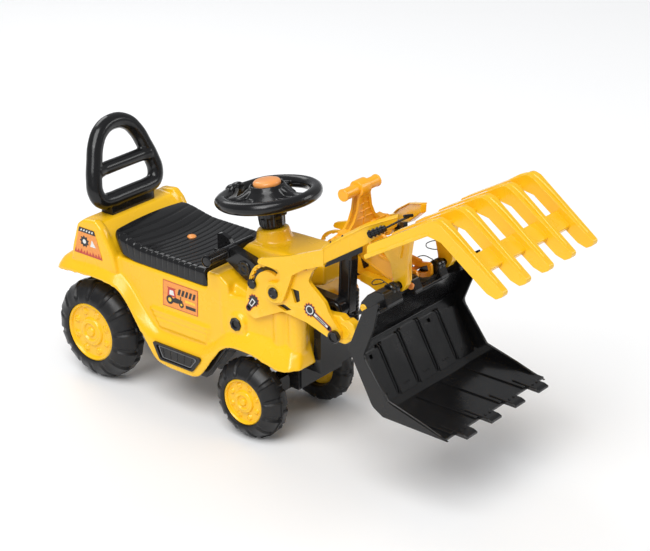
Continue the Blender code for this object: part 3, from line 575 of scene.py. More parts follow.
def wheels():
    for word, side in SIDES:
        for end, x, radius, lugs in (("rear", 0, REAR_R, 14), ("front", WHEELBASE, FRONT_R, 12)):
            stem = f"{end}_wheel_{word}"
            low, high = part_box(f"{stem}_disc")
            out = high.y if side > 0 else low.y
            width = high.y - low.y
            rim = (high.z - low.z) / 2
            start = (x, out, radius)
            place(tyre(f"{stem}_tread", radius, rim, width, lugs, start, side), TYRE, stem, f"{stem}_tyre")
            place(hubcap(f"{stem}_cap", rim - 0.0003, width, start, side), YELLOW, stem, f"{stem}_disc")


wheels()


# ---- body --------------------------------------------------------------------------------------
def skirt():
    """Lower body: one lofted skin from the rear fenders over the footrests to the front fenders."""
    rows = (  # x, lip (y, z), crease (y, z), top (y, z), share of the rise that stays at the lip's width
        (-0.083, (0.098, 0.186), (0.084, 0.2), (0.07, 0.203), 0.3),
        (-0.074, (0.11, 0.1885), (0.09, 0.2095), (0.078, 0.212), 0.3),
        (-0.048, (0.115, 0.193), (0.0915, 0.2215), (0.088, 0.224), 0.3),
        (0.0, (0.1155, 0.1985), (0.0915, 0.2235), (0.09, 0.24), 0.3),
        (0.045, (0.1155, 0.1985), (0.093, 0.2215), (0.0925, 0.242), 0.3),
        (0.07, (0.115, 0.1945), (0.094, 0.212), (0.0932, 0.2424), 0.3),
        (0.088, (0.1145, 0.18), (0.0948, 0.199), (0.0938, 0.2424), 0.3),
        (0.105, (0.1135, 0.156), (0.0955, 0.18), (0.0938, 0.2424), 0.3),
        (0.13, (0.1125, 0.119), (0.0965, 0.153), (0.0938, 0.2424), 0.4),
        (0.15, (0.1122, 0.091), (0.097, 0.139), (0.0938, 0.2424), 0.7),
        (0.163, (0.112, 0.0795), (0.097, 0.134), (0.0938, 0.2424), 0.8),
        (0.243, (0.112, 0.0775), (0.0965, 0.135), (0.0938, 0.2424), 0.8),
        (0.258, (0.112, 0.086), (0.096, 0.138), (0.0938, 0.2424), 0.8),
        (0.28, (0.1105, 0.118), (0.0952, 0.153), (0.0936, 0.2424), 0.5),
        (0.304, (0.1065, 0.154), (0.0942, 0.176), (0.093, 0.2424), 0.2),
        (0.33, (0.1055, 0.156), (0.089, 0.1835), (0.0862, 0.2424), 0.2),
        (0.355, (0.105, 0.1565), (0.084, 0.184), (0.082, 0.2424), 0.2),
        (0.39, (0.105, 0.15), (0.08, 0.182), (0.0785, 0.2424), 0.2),
        (0.415, (0.1045, 0.1425), (0.079, 0.179), (0.0775, 0.242), 0.2),
        (0.429, (0.103, 0.1435), (0.0782, 0.1765), (0.0767, 0.2405), 0.2),
        (0.439, (0.098, 0.146), (0.0765, 0.1745), (0.075, 0.238), 0.2),
        (0.445, (0.089, 0.148), (0.073, 0.1735), (0.0715, 0.235), 0.2))
    bm = bmesh.new()
    lines = []
    for x, lip, crease, top, stay in rows:
        rise = crease[1] - lip[1]
        half = [lip, (lip[0], lip[1] + 0.005), (lip[0] - 0.001, lip[1] + rise * stay),
            (crease[0] + (lip[0] - crease[0]) * 0.28, crease[1] - rise * 0.1), crease,
            (crease[0] * 0.4 + top[0] * 0.6, crease[1] + (top[1] - crease[1]) * 0.45), top, (top[0] * 0.55,
            top[1])]
        whole = [(-y, z) for y, z in half] + [(y, z) for y, z in reversed(half)]
        lines.append([bm.verts.new((x, y, z)) for y, z in whole])
    for low, high in zip(lines, lines[1:]):
        bridge(bm, low, high, closed=False)
    sharpness = bm.edges.layers.float.new("crease_edge")
    for low, high in zip(lines, lines[1:]):
        for i in (4, 6, 9, 11):
            bm.edges.get((low[i], high[i]))[sharpness] = 0.75
    bmesh.ops.recalc_face_normals(bm, faces=bm.faces)
    if sum(f.normal.z for f in bm.faces) < 0:
        bmesh.ops.reverse_faces(bm, faces=bm.faces)
    obj = object_from(bm, "skirt")
    smooth = obj.modifiers.new("smooth", "SUBSURF")
    smooth.levels = smooth.render_levels = 3
    thick = obj.modifiers.new("thick", "SOLIDIFY")
    thick.thickness, thick.offset = 0.0042, -1
    return applied(obj)


def frustum(name, low, high, side, cut=0.001):
    """Solid between two rectangles (x0, x1, inner y, outer y, z) on one side, front outer corner cut off."""
    bm = bmesh.new()
    ends = [[bm.verts.new((x, side * y, z)) for x, y in ((x0, near), (x1, near), (x1, far - cut),
        (x1 - cut, far), (x0, far))] for x0, x1, near, far, z in (low, high)]
    bm.faces.new(ends[0])
    bm.faces.new(ends[1])
    bridge(bm, *ends)
    bmesh.ops.recalc_face_normals(bm, faces=bm.faces)
    return object_from(bm, name)


BOSS_X = 0.3236


def body():
    parts = [skirt()]
    parts.append(prism("back_wall", [(-0.044, 0.215), (-0.042, 0.262, 0.012), (-0.033, 0.281, 0.01),
        (-0.02, 0.2905, 0.008), (0.018, 0.2905, 0.01), (0.046, 0.262, 0.02), (0.06, 0.232)], -0.089, 0.089,
        soft=0.004))
    parts.append(prism("tower_rear", [(0.26, 0.16), (0.26, 0.2715, 0.004), (0.287, 0.2715, 0.01),
        (0.306, 0.259, 0.01), (0.312, 0.16)], -0.093, 0.093, soft=0.003))
    for side in (-1, 1):
        y0, y1 = span(side, 0.087, 0.104)
        parts.append(prism("wing", [(-0.044, 0.214), (-0.04, 0.24, 0.02), (-0.026, 0.284, 0.008),
            (-0.012, 0.2945, 0.006), (0.017, 0.2985, 0.008), (0.031, 0.287, 0.014), (0.057, 0.244, 0.01),
            (0.064, 0.214)], y0, y1, soft=0.004))
        y0, y1 = span(side, 0.044, 0.078)
        parts.append(prism("column", [(0.29, 0.16), (0.29, 0.264), (0.306, 0.2575, 0.01), (0.33, 0.2505),
            (0.345, 0.246), (0.43, 0.244, 0.006), (0.4385, 0.24, 0.006), (0.441, 0.16)], y0, y1, soft=0.006))
        parts.append(frustum("flange", (0.38, 0.4525, 0.0455, 0.102, 0.1475),
            (0.38, 0.4415, 0.0455, 0.08, 0.182), side, 0.013))
        # soft vertical swell where the tower narrows, and the fluted front corner
        parts.append(rounded_rod("swell", (0.297, side * 0.0845, 0.168), (0.292, side * 0.0835, 0.256),
            0.0115, 0.0105, 0.008))
        for x, y, wide in ((0.403, 0.068, 0.0172), (0.43, 0.0665, 0.0155)):
            parts.append(rounded_rod("flute", (x, side * y, 0.16), (x, side * y, 0.243), wide, soft=0.008))
        # ledges above the footrest, following the seat line
        for k in range(4):
            z = 0.1465 + 0.0082 * k
            parts.append(rounded_rod("ledge", (0.154 - 0.006 * k, side * (0.0976 - 0.0004 * k), z),
                (0.262 + 0.002 * k, side * (0.097 - 0.0004 * k), z), 0.0034, soft=0.0025, steps=12))
        # round boss beside the front wheel arch
        parts.append(rounded_rod("boss", (BOSS_X, side * 0.07, 0.1955), (BOSS_X, side * 0.0945, 0.1955), 0.02,
            0.018, 0.004))
        parts.append(frustum("boss_foot", (0.303, 0.345, 0.07, 0.0935, 0.17),
            (0.308, 0.339, 0.07, 0.0925, 0.196), side))
    parts.append(prism("hood", [(0.285, 0.15), (0.285, 0.294, 0.008), (0.306, 0.3165, 0.012),
        (0.4655, 0.3215, 0.006), (0.4665, 0.286, 0.006), (0.438, 0.278), (0.432, 0.15)], -0.044, 0.044,
        soft=0.005))
    cone = [(0, -0.062), (0.0445, -0.062), (0.0405, -0.042), (0.0345, -0.035), (0.031, -0.028),
        (0.0262, -0.009), (0.025, -0.008), (0, -0.008)]
    parts.append(lathe("cone", cone, COLUMN_TOP, LEAN, 40))
    shell = joined("digger_body", *parts)
    cast(shell, 0.0023, 7)
    return shell


SHELL = place(body(), YELLOW, "vehicle", "body_shell", angle=60)


# ---- backrest, seat, footrest pads ---------------------------------------------------------------
def backrest():
    """Thick tube bent to an arch that leans back, a cross bar with filled corners, and a foot."""
    def on_arch(y, z):
        return Vector((-0.002 - (z - 0.31) * 0.26, y, z))

    half = [(0.024, 0.3135), (0.044, 0.3136), (0.064, 0.318), (0.0725, 0.333), (0.0695, 0.356), (0.06, 0.383),
        (0.049, 0.408), (0.031, 0.4275)]
    outline = [(0, 0.3135)] + half + [(0, 0.436)] + [(-y, z) for y, z in reversed(half)]
    parts = [tube("loop", [on_arch(y, z) for y, z in outline], 0.0142, closed=True, resolution=10),
        tube("bar", [on_arch(y, 0.3665) for y in (-0.062, -0.045, 0, 0.045, 0.062)], 0.0118, radii=[1.3, 1.02,
        1, 1.02, 1.3])]
    foot = prism("foot", [(-0.019, 0.288), (-0.019, 0.318, 0.004), (0.009, 0.318, 0.004), (0.009, 0.288)],
        -0.052, 0.052, soft=0.002)
    return cast(joined("backrest_loop", *parts, foot), 0.0017, 5)


place(backrest(), BLACK, "vehicle", "backrest", angle=60)


SEAT_HALF = 0.0925


def seat_height(x, y):
    """Top of the moulded seat: raised lip behind, shallow dish, rolled front edge."""
    share = y / SEAT_HALF
    lip = 0.016 * smooth_step((0.118 - x) / 0.056) * (0.62 + 0.38 * (1 - share * share))
    dish = 0.0032 * (1 - share ** 4) * smooth_step((x - 0.09) / 0.04) * smooth_step((0.262 - x) / 0.04)
    return 0.273 + lip - dish


def seat_groove(x, y):
    """Depth of the bowed grooves across the seat."""
    pitch, first, last = 0.0123, 0.0778, 0.25
    along = x + 0.01 * (y / SEAT_HALF) ** 2
    if not first < along < last:
        return 0
    phase = (along - first) / pitch % 1
    return 0.0015 * smooth_step((0.15 - abs(phase - 0.5)) / 0.13)


SEAT_ROLL = 0.0115


def seat():
    x0, x1, floor = 0.0535, 0.2584, 0.2438
    centre = 24
    rows = 236
    stations = [x0, x0 + 0.0004] + [x0 + 0.0008 + (x1 - x0 - 0.0016) * k / rows for k in range(rows + 1)]
    stations += [x1 - 0.0004, x1]
    bm = bmesh.new()
    lines = []
    for x in stations:
        rise = smooth_step((x - x0) / 0.017 + 0.25) * smooth_step((x1 - x) / 0.007 + 0.3)
        if x in (x0, x1):
            rise = 0
        inset = 0.004 * (1 - smooth_step((x - x0) / 0.012)) + 0.003 * (1 - smooth_step((x1 - x) / 0.006))
        half = 0.0924 - 0.0085 * (1 - smooth_step((x - x0) / 0.022))
        line = []
        for k in range(2 * centre + 1):
            t = abs(k - centre) / centre
            flat = half - inset - SEAT_ROLL
            if t < 0.5:
                y, drop, lean = flat * t / 0.5, 0, 0
            elif t < 0.82:
                turn = radians(84) * (t - 0.5) / 0.32
                y, drop, lean = flat + SEAT_ROLL * sin(turn), SEAT_ROLL * (1 - cos(turn)), sin(turn)
            else:
                y, drop, lean = half - inset, SEAT_ROLL * 0.895 + (t - 0.82) / 0.18 * 0.022, 1
            sink = seat_groove(x, y) * (1 if t < 0.82 else smooth_step((0.96 - t) / 0.1))
            top = max(floor, seat_height(x, y) - drop - sink * (1 - lean))
            y -= sink * lean * 0.45
            z = floor + (top - floor) * rise
            back = 0.0205 * min(1, (z - floor) / 0.04) * (1 - smooth_step((x - x0) / 0.07))
            line.append(bm.verts.new((x - back, y if k > centre else -y, z)))
        lines.append(line)
    for low, high in zip(lines, lines[1:]):
        bridge(bm, low, high, closed=False)
    bm.faces.new([line[0] for line in lines] + lines[-1][1:-1] + [line[-1] for line in reversed(lines)]
        + list(reversed(lines[0][1:-1])))
    bmesh.ops.remove_doubles(bm, verts=bm.verts, dist=0.00001)
    bmesh.ops.recalc_face_normals(bm, faces=bm.faces)
    cushion = object_from(bm, "cushion")
    fin = prism("fin", [(0.213, 0.262), (0.213, 0.2985, 0.002), (0.221, 0.3012, 0.004), (0.237, 0.2965, 0.01),
        (0.2475, 0.283, 0.008), (0.25, 0.262)], -0.0125, -0.0045, [ring_points((0.2325, 0.2865), 0.0022, 10)],
        soft=0.0012)
    foot = block("fin_foot", (0.2095, 0.2525), (-0.0185, 0.0015), (0.262, 0.2735), 0.0016)
    hinge = rounded_rod("fin_hinge", (0.246, 0.01, 0.2735), (0.246, 0.048, 0.2735), 0.0062, soft=0.002)
    return joined("seat_moulding", cushion, fin, foot, hinge)


place(seat(), BLACK, "vehicle", "seat", angle=50)
DOT = middle("seat_badge") - Vector((X0, 0, 0))
dot = [(0, -0.003), (0.0072, -0.003), (0.0078, 0.0005), (0.0066, 0.0022), (0.004, 0.0032), (0, 0.0036)]
place(lathe("seat_dot", dot, (DOT.x, 0, seat_height(DOT.x, 0) + 0.0004), (0, 0, 1), 32), ORANGE, "vehicle",
    "seat_badge")


def footrest_pads():
    for word, side in SIDES:
        outline = [(0.152, 0.121, 0.003), (0.264, 0.121, 0.004), (0.243, 0.091, 0.008), (0.168, 0.091, 0.006)]
        well = [(0.16, 0.1178, 0.003), (0.257, 0.1178, 0.004), (0.2395, 0.0942, 0.006),
            (0.1715, 0.0942, 0.005)]
        line = [(0.1645, 0.116, 0.002), (0.2525, 0.116, 0.003), (0.237, 0.096, 0.005), (0.174, 0.096, 0.004)]
        inner = [(0.1662, 0.115, 0.002), (0.2508, 0.115, 0.003), (0.236, 0.097, 0.005),
            (0.1752, 0.097, 0.004)]
        frame_ring = prism("pad_frame", outline, *span(side, 0.1105, 0.1142), [well], soft=0.0007)
        plate = prism("pad_plate", well, *span(side, 0.1095, 0.1118), soft=0)
        ribs = [rounded_rod("pad_rib", (0.178 + 0.0145 * k, side * 0.1116, 0.0985),
            (0.174 + 0.0165 * k, side * 0.1116, 0.1135), 0.0011, soft=0.0006, steps=10) for k in range(5)]
        place(joined(f"footrest_panel_{word}", frame_ring, plate, *ribs), BLACK, "vehicle",
            f"footrest_pad_{word}")
        # thin grey ring just inside the pad's frame: painted highlight along the rim's bevel
        place(prism(f"footrest_rim_highlight_{word}", line, *span(side, 0.1116, 0.1124), [inner], soft=0), RIM_HIGHLIGHT_GREY,
            "vehicle")
        liner = [(0.246, 0.0795), (0.26, 0.08, 0.004), (0.285, 0.116), (0.307, 0.147, 0.006), (0.335, 0.152),
            (0.335, 0.16), (0.296, 0.158), (0.262, 0.115)]
        place(prism(f"footrest_liner_{word}", liner, *span(side, 0.083, 0.099), soft=0.002), BLACK, "vehicle")
        plug = [(0, -0.008), (0.0118, -0.008), (0.0118, 0.0016), (0.0108, 0.0026), (0.007, 0.0026),
            (0.0062, 0.0002), (0, 0.0002)]
        place(lathe(f"axle_plug_{word}", plug, (BOSS_X, side * 0.0945, 0.1958), (0, side, 0), 8), BLACK,
            "vehicle", angle=25)


footrest_pads()


# ---- side frames and brackets --------------------------------------------------------------------
FRAME_FACE, FRAME_BACK = 0.0908, 0.0842
FRAME_CAP = (0.527, 0.235)
SLOT_R, SLOT_HALF = 0.0335, 0.0044
TRIANGLE = [(0.437, 0.291, 0.001), (0.4455, 0.267, 0.001), (0.456, 0.274, 0.001), (0.454, 0.291, 0.001)]
LENS = [(0.4085, 0.253), (0.423, 0.2592, 0.006), (0.439, 0.254), (0.425, 0.2478, 0.006)]


def slot_outline():
    """Arc slot about the lever's axis with a toothed outer edge."""
    centre = (LEVER_PIVOT.x, LEVER_PIVOT.z)
    outer = []
    for k in range(49):
        degrees = 60 + 120 * k / 48
        tooth = 0.0019 if 98 < degrees < 172 and k % 6 < 3 else 0
        outer += ring_points(centre, SLOT_R + SLOT_HALF - tooth, 1, radians(degrees), 0.0001)[:1]
    end = (centre[0] - SLOT_R, centre[1])
    inner = ring_points(centre, SLOT_R - SLOT_HALF, 20, radians(180), radians(-120))
    return outer + ring_points(end, SLOT_HALF, 6, radians(210), radians(120)) + inner


def side_frames():
    outline = [(0.3455, 0.262, 0.02), (0.341, 0.222, 0.01), (0.362, 0.216, 0.008), (0.42, 0.246, 0.02),
        (0.47, 0.241, 0.02), (0.52, 0.226, 0.006), (0.536, 0.226, 0.008), (0.536, 0.244, 0.008),
        (0.514, 0.27, 0.01), (0.506, 0.286, 0.01), (0.472, 0.312, 0.008), (0.48, 0.33, 0.01),
        (0.493, 0.346, 0.004), (0.487, 0.356, 0.004), (0.398, 0.321, 0.03), (0.36, 0.311, 0.03)]
    square = [(0.463, 0.329), (0.471, 0.331), (0.471, 0.337), (0.463, 0.335)]
    bracket = [(0.45, 0.252, 0.003), (0.47, 0.248), (0.514, 0.231), (0.526, 0.222), (0.54, 0.2215, 0.012),
        (0.56, 0.238, 0.014), (0.56, 0.258, 0.012), (0.545, 0.265, 0.006), (0.538, 0.2616, 0.004),
        (0.53, 0.2675, 0.005), (0.506, 0.264, 0.004), (0.45, 0.266, 0.003)]
    cap = [(0, -0.002), (0.0098, -0.002), (0.0104, 0.0005), (0.0104, 0.0058), (0.0094, 0.0072),
        (0.0064, 0.0072), (0.0058, 0.0052), (0, 0.0052)]
    pivot_cap = [(0, -0.028), (0.0056, -0.028), (0.0056, -0.001), (0.0094, -0.001), (0.0094, 0.0016),
        (0.0086, 0.0026), (0.006, 0.0026), (0.005, 0.0014), (0, 0.0014)]
    for word, side in SIDES:
        y0, y1 = span(side, FRAME_BACK, FRAME_FACE)
        plate = prism("plate", outline, y0, y1, [slot_outline(), TRIANGLE, LENS, square], soft=0.0017)
        # raised band that follows the rear edge of the slot
        lip = ring_points((LEVER_PIVOT.x, LEVER_PIVOT.z), 0.0402, 20, radians(66), radians(120))
        band = tube("band", [(x, side * (FRAME_FACE - 0.0002), z) for x, z in lip], 0.0012, smooth=False)
        place(joined(f"side_plate_{word}", plate, band), YELLOW, "vehicle", f"side_frame_{word}")
        # black plates just behind the triangle and lens holes are painted shade: they make the holes read
        # dark instead of showing the yellow column behind
        for name, hole in (("triangle", TRIANGLE), ("lens", LENS)):
            place(prism(f"frame_{name}_{word}", hole, *span(side, 0.0836, 0.0862), soft=0), BLACK, "vehicle")
        claw = prism("claw", bracket, *span(side, 0.067, 0.0838), [ring_points(FRAME_CAP, 0.0054, 14)],
            soft=0.003)
        rib = tube("rib", [(x, side * 0.0836, z) for x, z in ((0.533, 0.256), (0.544, 0.252), (0.55, 0.244),
            (0.546, 0.235))], 0.0011)
        place(joined(f"claw_{word}", claw, rib), YELLOW, "vehicle", f"front_bracket_{word}")
        shaft = rounded_rod("shaft", (FRAME_CAP[0], side * 0.0495, FRAME_CAP[1]), (FRAME_CAP[0],
            side * 0.0915, FRAME_CAP[1]), 0.005)
        head = lathe("head", cap, (FRAME_CAP[0], side * 0.0918, FRAME_CAP[1]), (0, side, 0), 28)
        place(joined(f"frame_cap_{word}", shaft, head), BLACK, "vehicle", f"frame_pin_{word}")
        place(lathe(f"boom_cap_{word}", pivot_cap, (BOOM_PIVOT.x, side * 0.099, BOOM_PIVOT.z), (0, side, 0),
            32), BLACK, "vehicle", f"boom_pin_{word}")


side_frames()


# ---- lift lever ----------------------------------------------------------------------------------
def lift_lever():
    y0, y1 = -0.065, -0.047
    bar_at, disc_at, eye_at = (0.279, 0.3), (0.318, 0.283), (0.504, 0.265)
    stem = prism("stem", [(0.27, 0.301, 0.006), (0.286, 0.31, 0.006), (0.33, 0.3, 0.012),
        (0.345, 0.292, 0.01), (0.44, 0.284), (0.5, 0.281, 0.012), (0.519, 0.281, 0.014),
        (0.519, 0.249, 0.014), (0.494, 0.249, 0.014), (0.44, 0.262), (0.345, 0.262), (0.32, 0.263, 0.006),
        (0.27, 0.291, 0.004)], y0, y1, [ring_points(eye_at, 0.004, 14)], soft=0.0025)
    bar = rounded_rod("bar", (bar_at[0], -0.113, bar_at[1]), (bar_at[0], 0.001, bar_at[1]), 0.0092,
        soft=0.003)
    parts = [stem, bar]
    # gripping flutes along the crossbar, its end discs, and the ribbed disc over the stem's root
    for x, z in ring_points(bar_at, 0.009, 14):
        parts.append(rounded_rod("flute", (x, -0.1085, z), (x, -0.07, z), 0.0008, soft=0.0005, steps=8))
    for y in (-0.1118, -0.069, -0.042):
        parts.append(lathe("ring", [(0.0088, -0.0016), (0.01, -0.001), (0.01, 0.001), (0.0088, 0.0016)],
            (bar_at[0], y, bar_at[1]), (0, 1, 0), 28))
    disc = [(0, -0.0005), (0.013, -0.0005), (0.013, 0.0012), (0.0118, 0.0022), (0.009, 0.0022),
        (0.0082, 0.001), (0.0045, 0.001), (0.0036, 0.0022), (0, 0.0022)]
    parts.append(lathe("disc", disc, (disc_at[0], y0, disc_at[1]), (0, -1, 0), 36))
    for near, far in zip(ring_points(disc_at, 0.0092, 10), ring_points(disc_at, 0.0122, 10)):
        parts.append(rounded_rod("tick", (near[0], y0 - 0.0016, near[1]), (far[0], y0 - 0.0016, far[1]),
            0.0012, soft=0.0006, steps=8))
    rim = [(0.0062, 0), (0.0128, 0), (0.0128, 0.0016), (0.0118, 0.0026), (0.0072, 0.0026), (0.0062, 0.0018)]
    parts.append(lathe("eye", rim, (eye_at[0], y0, eye_at[1]), (0, -1, 0), 32))
    place(joined("lift_lever_bar", *parts), BLACK, "lift_lever", "lift_lever")
    x, z = LEVER_PIVOT.x - SLOT_R, LEVER_PIVOT.z
    knob = [(0, -0.0285), (0.0022, -0.0285), (0.0022, 0), (0.008, 0), (0.0084, 0.0012), (0.0084, 0.0034),
        (0.007, 0.0046), (0.0052, 0.0046), (0.0046, 0.0038), (0, 0.0038)]
    place(lathe("lever_stud", knob, (x, -0.0914, z), (0, -1, 0), 28), BLACK, "lift_lever", "lever_knob")


lift_lever()


# ---- boom ----------------------------------------------------------------------------------------
BEND, ARM_TIP = (0.508, 0.0985), (0.604, 0.037)


def turned_in(obj, side):
    """Move a piece laid out along the arm's front length (x from the bend) into its place."""
    angle = atan2(ARM_TIP[1] - BEND[1], ARM_TIP[0] - BEND[0])
    obj.data.transform(Matrix.Translation((BEND[0], BEND[1], 0)) @ Matrix.Rotation(angle, 4, "Z"))
    if side < 0:
        obj.data.transform(Matrix.Diagonal((1, -1, 1, 1)))
        obj.data.flip_normals()
    return obj


def boom():
    rear = corners([(0.39, 0.2625, 0.014), (0.424, 0.2615, 0.014), (0.436, 0.29, 0.012), (0.446, 0.318, 0.01),
        (0.47, 0.334), (0.5095, 0.352), (0.5095, 0.3785), (0.505, 0.377), (0.44, 0.349),
        (0.378, 0.328, 0.006), (0.374, 0.319, 0.003), (0.42, 0.319, 0.006), (0.4225, 0.303, 0.006),
        (0.414, 0.295, 0.006), (0.39, 0.293, 0.012)], 6)
    front = [(-0.002, 0.351), (0.01, 0.359), (0.066, 0.389), (0.1125, 0.4215), (0.114, 0.436), (0.066, 0.42),
        (0.015, 0.39), (-0.002, 0.378)]
    flange = [(-0.001, 0.3765), (0.015, 0.3885), (0.066, 0.4185), (0.1135, 0.4355), (0.1137, 0.4378),
        (0.066, 0.421), (0.015, 0.3912), (-0.001, 0.379)]
    under = [(0.002, 0.344), (0.06, 0.372), (0.06, 0.386), (0.002, 0.368)]
    for word, side in SIDES:
        arm = prism("arm", rear, *span(side, 0.0915, 0.0985),
            [ring_points((BOOM_PIVOT.x, BOOM_PIVOT.z), 0.006, 20)], soft=0.002)
        rim = [(0.0128, -0.001), (0.0168, -0.001), (0.0166, 0.0004), (0.0158, 0.0008), (0.0138, 0.0008),
            (0.013, 0.0003)]
        hub = lathe("hub", rim, (BOOM_PIVOT.x, side * 0.0985, BOOM_PIVOT.z), (0, side, 0), 40)
        nose = turned_in(prism("nose", front, -0.01, -0.0002, soft=0.0018), side)
        top = turned_in(prism("flange", flange, -0.0125, 0.0006, soft=0.0008), side)
        place(joined(f"boom_side_{word}", arm, hub, nose, top), YELLOW, "boom", f"boom_arm_{word}")
        beam = prism(f"boom_channel_{word}", under, -0.018, -0.0104, soft=0.001)
        place(turned_in(beam, side), BLACK, "boom", f"boom_beam_{word}")
        marks = [turned_in(block("mark", (x, x + 0.006), (-0.0105, -0.004), (z, z + 0.0012), 0.0004), side)
                 for x, z in ((0.01, 0.3878), (0.028, 0.399))]
        place(joined(f"boom_marks_{word}", *marks), BLACK, "boom")
    x, z = DIPPER_PIVOT.x, DIPPER_PIVOT.z
    place(rounded_rod("dipper_rod", (x, -0.079, z), (x, 0.079, z), 0.004, soft=0.0012), BLACK, "boom",
        "bucket_lever_rod")


boom()


def lift_post():
    post = prism("post", [(0.496, 0.252, 0.006), (0.519, 0.252, 0.006), (0.523, 0.345), (0.521, 0.371, 0.009),
        (0.503, 0.371, 0.009), (0.499, 0.345)], -0.0462, -0.03,
        [ring_points((DIPPER_PIVOT.x, DIPPER_PIVOT.z), 0.0044, 14)], soft=0.0022)
    rails = [tube("rail", [(x0, -0.0462, 0.26), (x1, -0.0462, 0.345)], 0.0014, smooth=False)
             for x0, x1 in ((0.4995, 0.502), (0.516, 0.519))]
    place(joined("lift_strut", post, *rails), BLACK, "boom", "lift_post")
    # damper beside the post: a turned cylinder with diagonal grooves
    bm = bmesh.new()
    steps, rows, radius, height = 48, 70, 0.0096, 0.052
    rings = []
    for j in range(rows + 1):
        rings.append([])
        for k in range(steps):
            angle = 2 * pi * k / steps
            groove = smooth_step((0.22 - abs((j / rows * 8 + angle / (2 * pi)) % 1 - 0.5)) / 0.12)
            r = radius - 0.0011 * groove * (1 if 4 < j < rows - 4 else 0)
            rings[-1].append(bm.verts.new((*polar(r, angle), height * j / rows)))
    for low, high in zip(rings, rings[1:]):
        bridge(bm, low, high)
    bm.faces.new(list(reversed(rings[0])))
    bm.faces.new(rings[-1])
    damper = object_from(bm, "damper")
    damper.location = (0.506, -0.0202, 0.232)
    place(applied(damper), BLACK, "boom")


lift_post()


# ---- rake ----------------------------------------------------------------------------------------
TINE_STEP, TINE_W, HOOK_Y = 0.0593, 0.0228, 0.058


def narrowed(obj, middle_y, start, end, share):
    """Taper a piece's width towards its far end."""
    for vertex in obj.data.vertices:
        part = smooth_step((vertex.co.x - start) / (end - start))
        vertex.co.y = middle_y + (vertex.co.y - middle_y) * (1 - (1 - share) * part)
    return obj


def rake():
    parts = []
    rib = [(0.617, 0.4255, 0.006), (0.735, 0.4955, 0.014), (0.748, 0.4915, 0.01), (0.8565, 0.415, 0.004),
        (0.8545, 0.408, 0.004), (0.8455, 0.403, 0.004), (0.83, 0.408), (0.75, 0.465), (0.725, 0.469, 0.012),
        (0.617, 0.4045, 0.003)]
    for i in range(5):
        y = (i - 2) * TINE_STEP
        tine = prism("tine", rib, y - TINE_W / 2, y + TINE_W / 2, soft=0.0044, steps=4)
        parts.append(narrowed(narrowed(tine, y, 0.735, 0.85, 0.84), y, 0.838, 0.86, 0.62))
        # rolled crest along the tine
        ridge = [(x, y, z) for x, z in ((0.7, 0.4738), (0.728, 0.49), (0.74, 0.4925), (0.752, 0.488),
            (0.842, 0.4245))]
        parts.append(tube("ridge", ridge, 0.003, radii=[0.6, 0.9, 1.0, 0.9, 0.6]))
        if i < 4:
            # ribs of the channel between two tines, and the web that ties them
            gap = (y + TINE_W / 2, y + TINE_STEP - TINE_W / 2)
            for share in (0.3, 0.7):
                line = gap[0] + (gap[1] - gap[0]) * share
                parts.append(prism("channel_rib", [(0.604, 0.402), (0.725, 0.4735), (0.722, 0.477),
                    (0.6, 0.4075)], line - 0.0016, line + 0.0016, soft=0.0006))
            web = [(0.784, 0.44), (0.79, 0.45, 0.002), (0.816, 0.4315, 0.002), (0.809, 0.4215, 0.002)]
            parts.append(prism("web", web, gap[0] - 0.004, gap[1] + 0.004, soft=0.0012))
    base = [(0.614, 0.4022), (0.73, 0.471), (0.727, 0.4763), (0.611, 0.4077)]
    parts.append(prism("deck", base, -0.131, 0.131, soft=0.0016))
    root = [(0.59, 0.388), (0.62, 0.4058), (0.617, 0.4111), (0.587, 0.3935)]
    parts.append(prism("root", root, -0.07, 0.07, soft=0.0016))
    # rolled edges of the deck
    for side in (-1, 1):
        parts.append(tube("edge", [(0.614, side * 0.129, 0.4078), (0.65, side * 0.129, 0.429),
            (0.715, side * 0.129, 0.4675)], 0.0022, smooth=False))
        y0, y1 = span(side, HOOK_Y - 0.0065, HOOK_Y + 0.0065)
        leg = [(0.594, 0.3905), (0.648, 0.4225), (0.641, 0.375), (0.643, 0.345, 0.012), (0.634, 0.331, 0.008),
            (0.618, 0.331, 0.01), (0.616, 0.35, 0.01), (0.611, 0.372, 0.01)]
        parts.append(prism("leg", leg, y0, y1, [ring_points((BUCKET_PIVOT.x, BUCKET_PIVOT.z), 0.0058, 18)],
            soft=0.0022))
        web = [(0.61, 0.398), (0.636, 0.414), (0.632, 0.386)]
        parts.append(prism("gusset", web, side * HOOK_Y - 0.0105, side * HOOK_Y + 0.0105, soft=0.0014))
        for shift in (-0.0048, 0.0048):
            parts.append(tube("leg_rib", [(0.643, side * HOOK_Y + shift, 0.415),
                (0.6412, side * HOOK_Y + shift, 0.38), (0.6425, side * HOOK_Y + shift, 0.35)], 0.0016,
                smooth=False))
    place(joined("rake_comb", *parts), YELLOW, "boom", "rake")


rake()


def lock_pin():
    """Ribbed pin across the arm's front end, with its moulded strap."""
    start, end = Vector((0.57, -0.0665, 0.4085)), Vector((0.593, -0.052, 0.4215))
    way = (end - start).normalized()
    parts = [rounded_rod("pin", start, end, 0.0052, soft=0.0015)]
    for k in range(4):
        parts.append(lathe("bead", [(0.0046, -0.0022), (0.0068, -0.0012), (0.0068, 0.0012), (0.0046, 0.0022)],
            start + way * (0.004 + 0.0065 * k), way, 24))
    strap = [Vector(p) for p in ((0.5922, -0.0525, 0.4212), (0.601, -0.045, 0.4275), (0.611, -0.037, 0.4345),
        (0.62, -0.03, 0.4395))]
    parts.append(tube("strap", strap, 0.0017))
    parts.append(rounded_rod("toggle", (0.614, -0.037, 0.441), (0.623, -0.024, 0.441), 0.0026, soft=0.0012,
        steps=12))
    place(joined("lock_pin_strap", *parts), BLACK, "boom", "rake_lock_pin")


lock_pin()


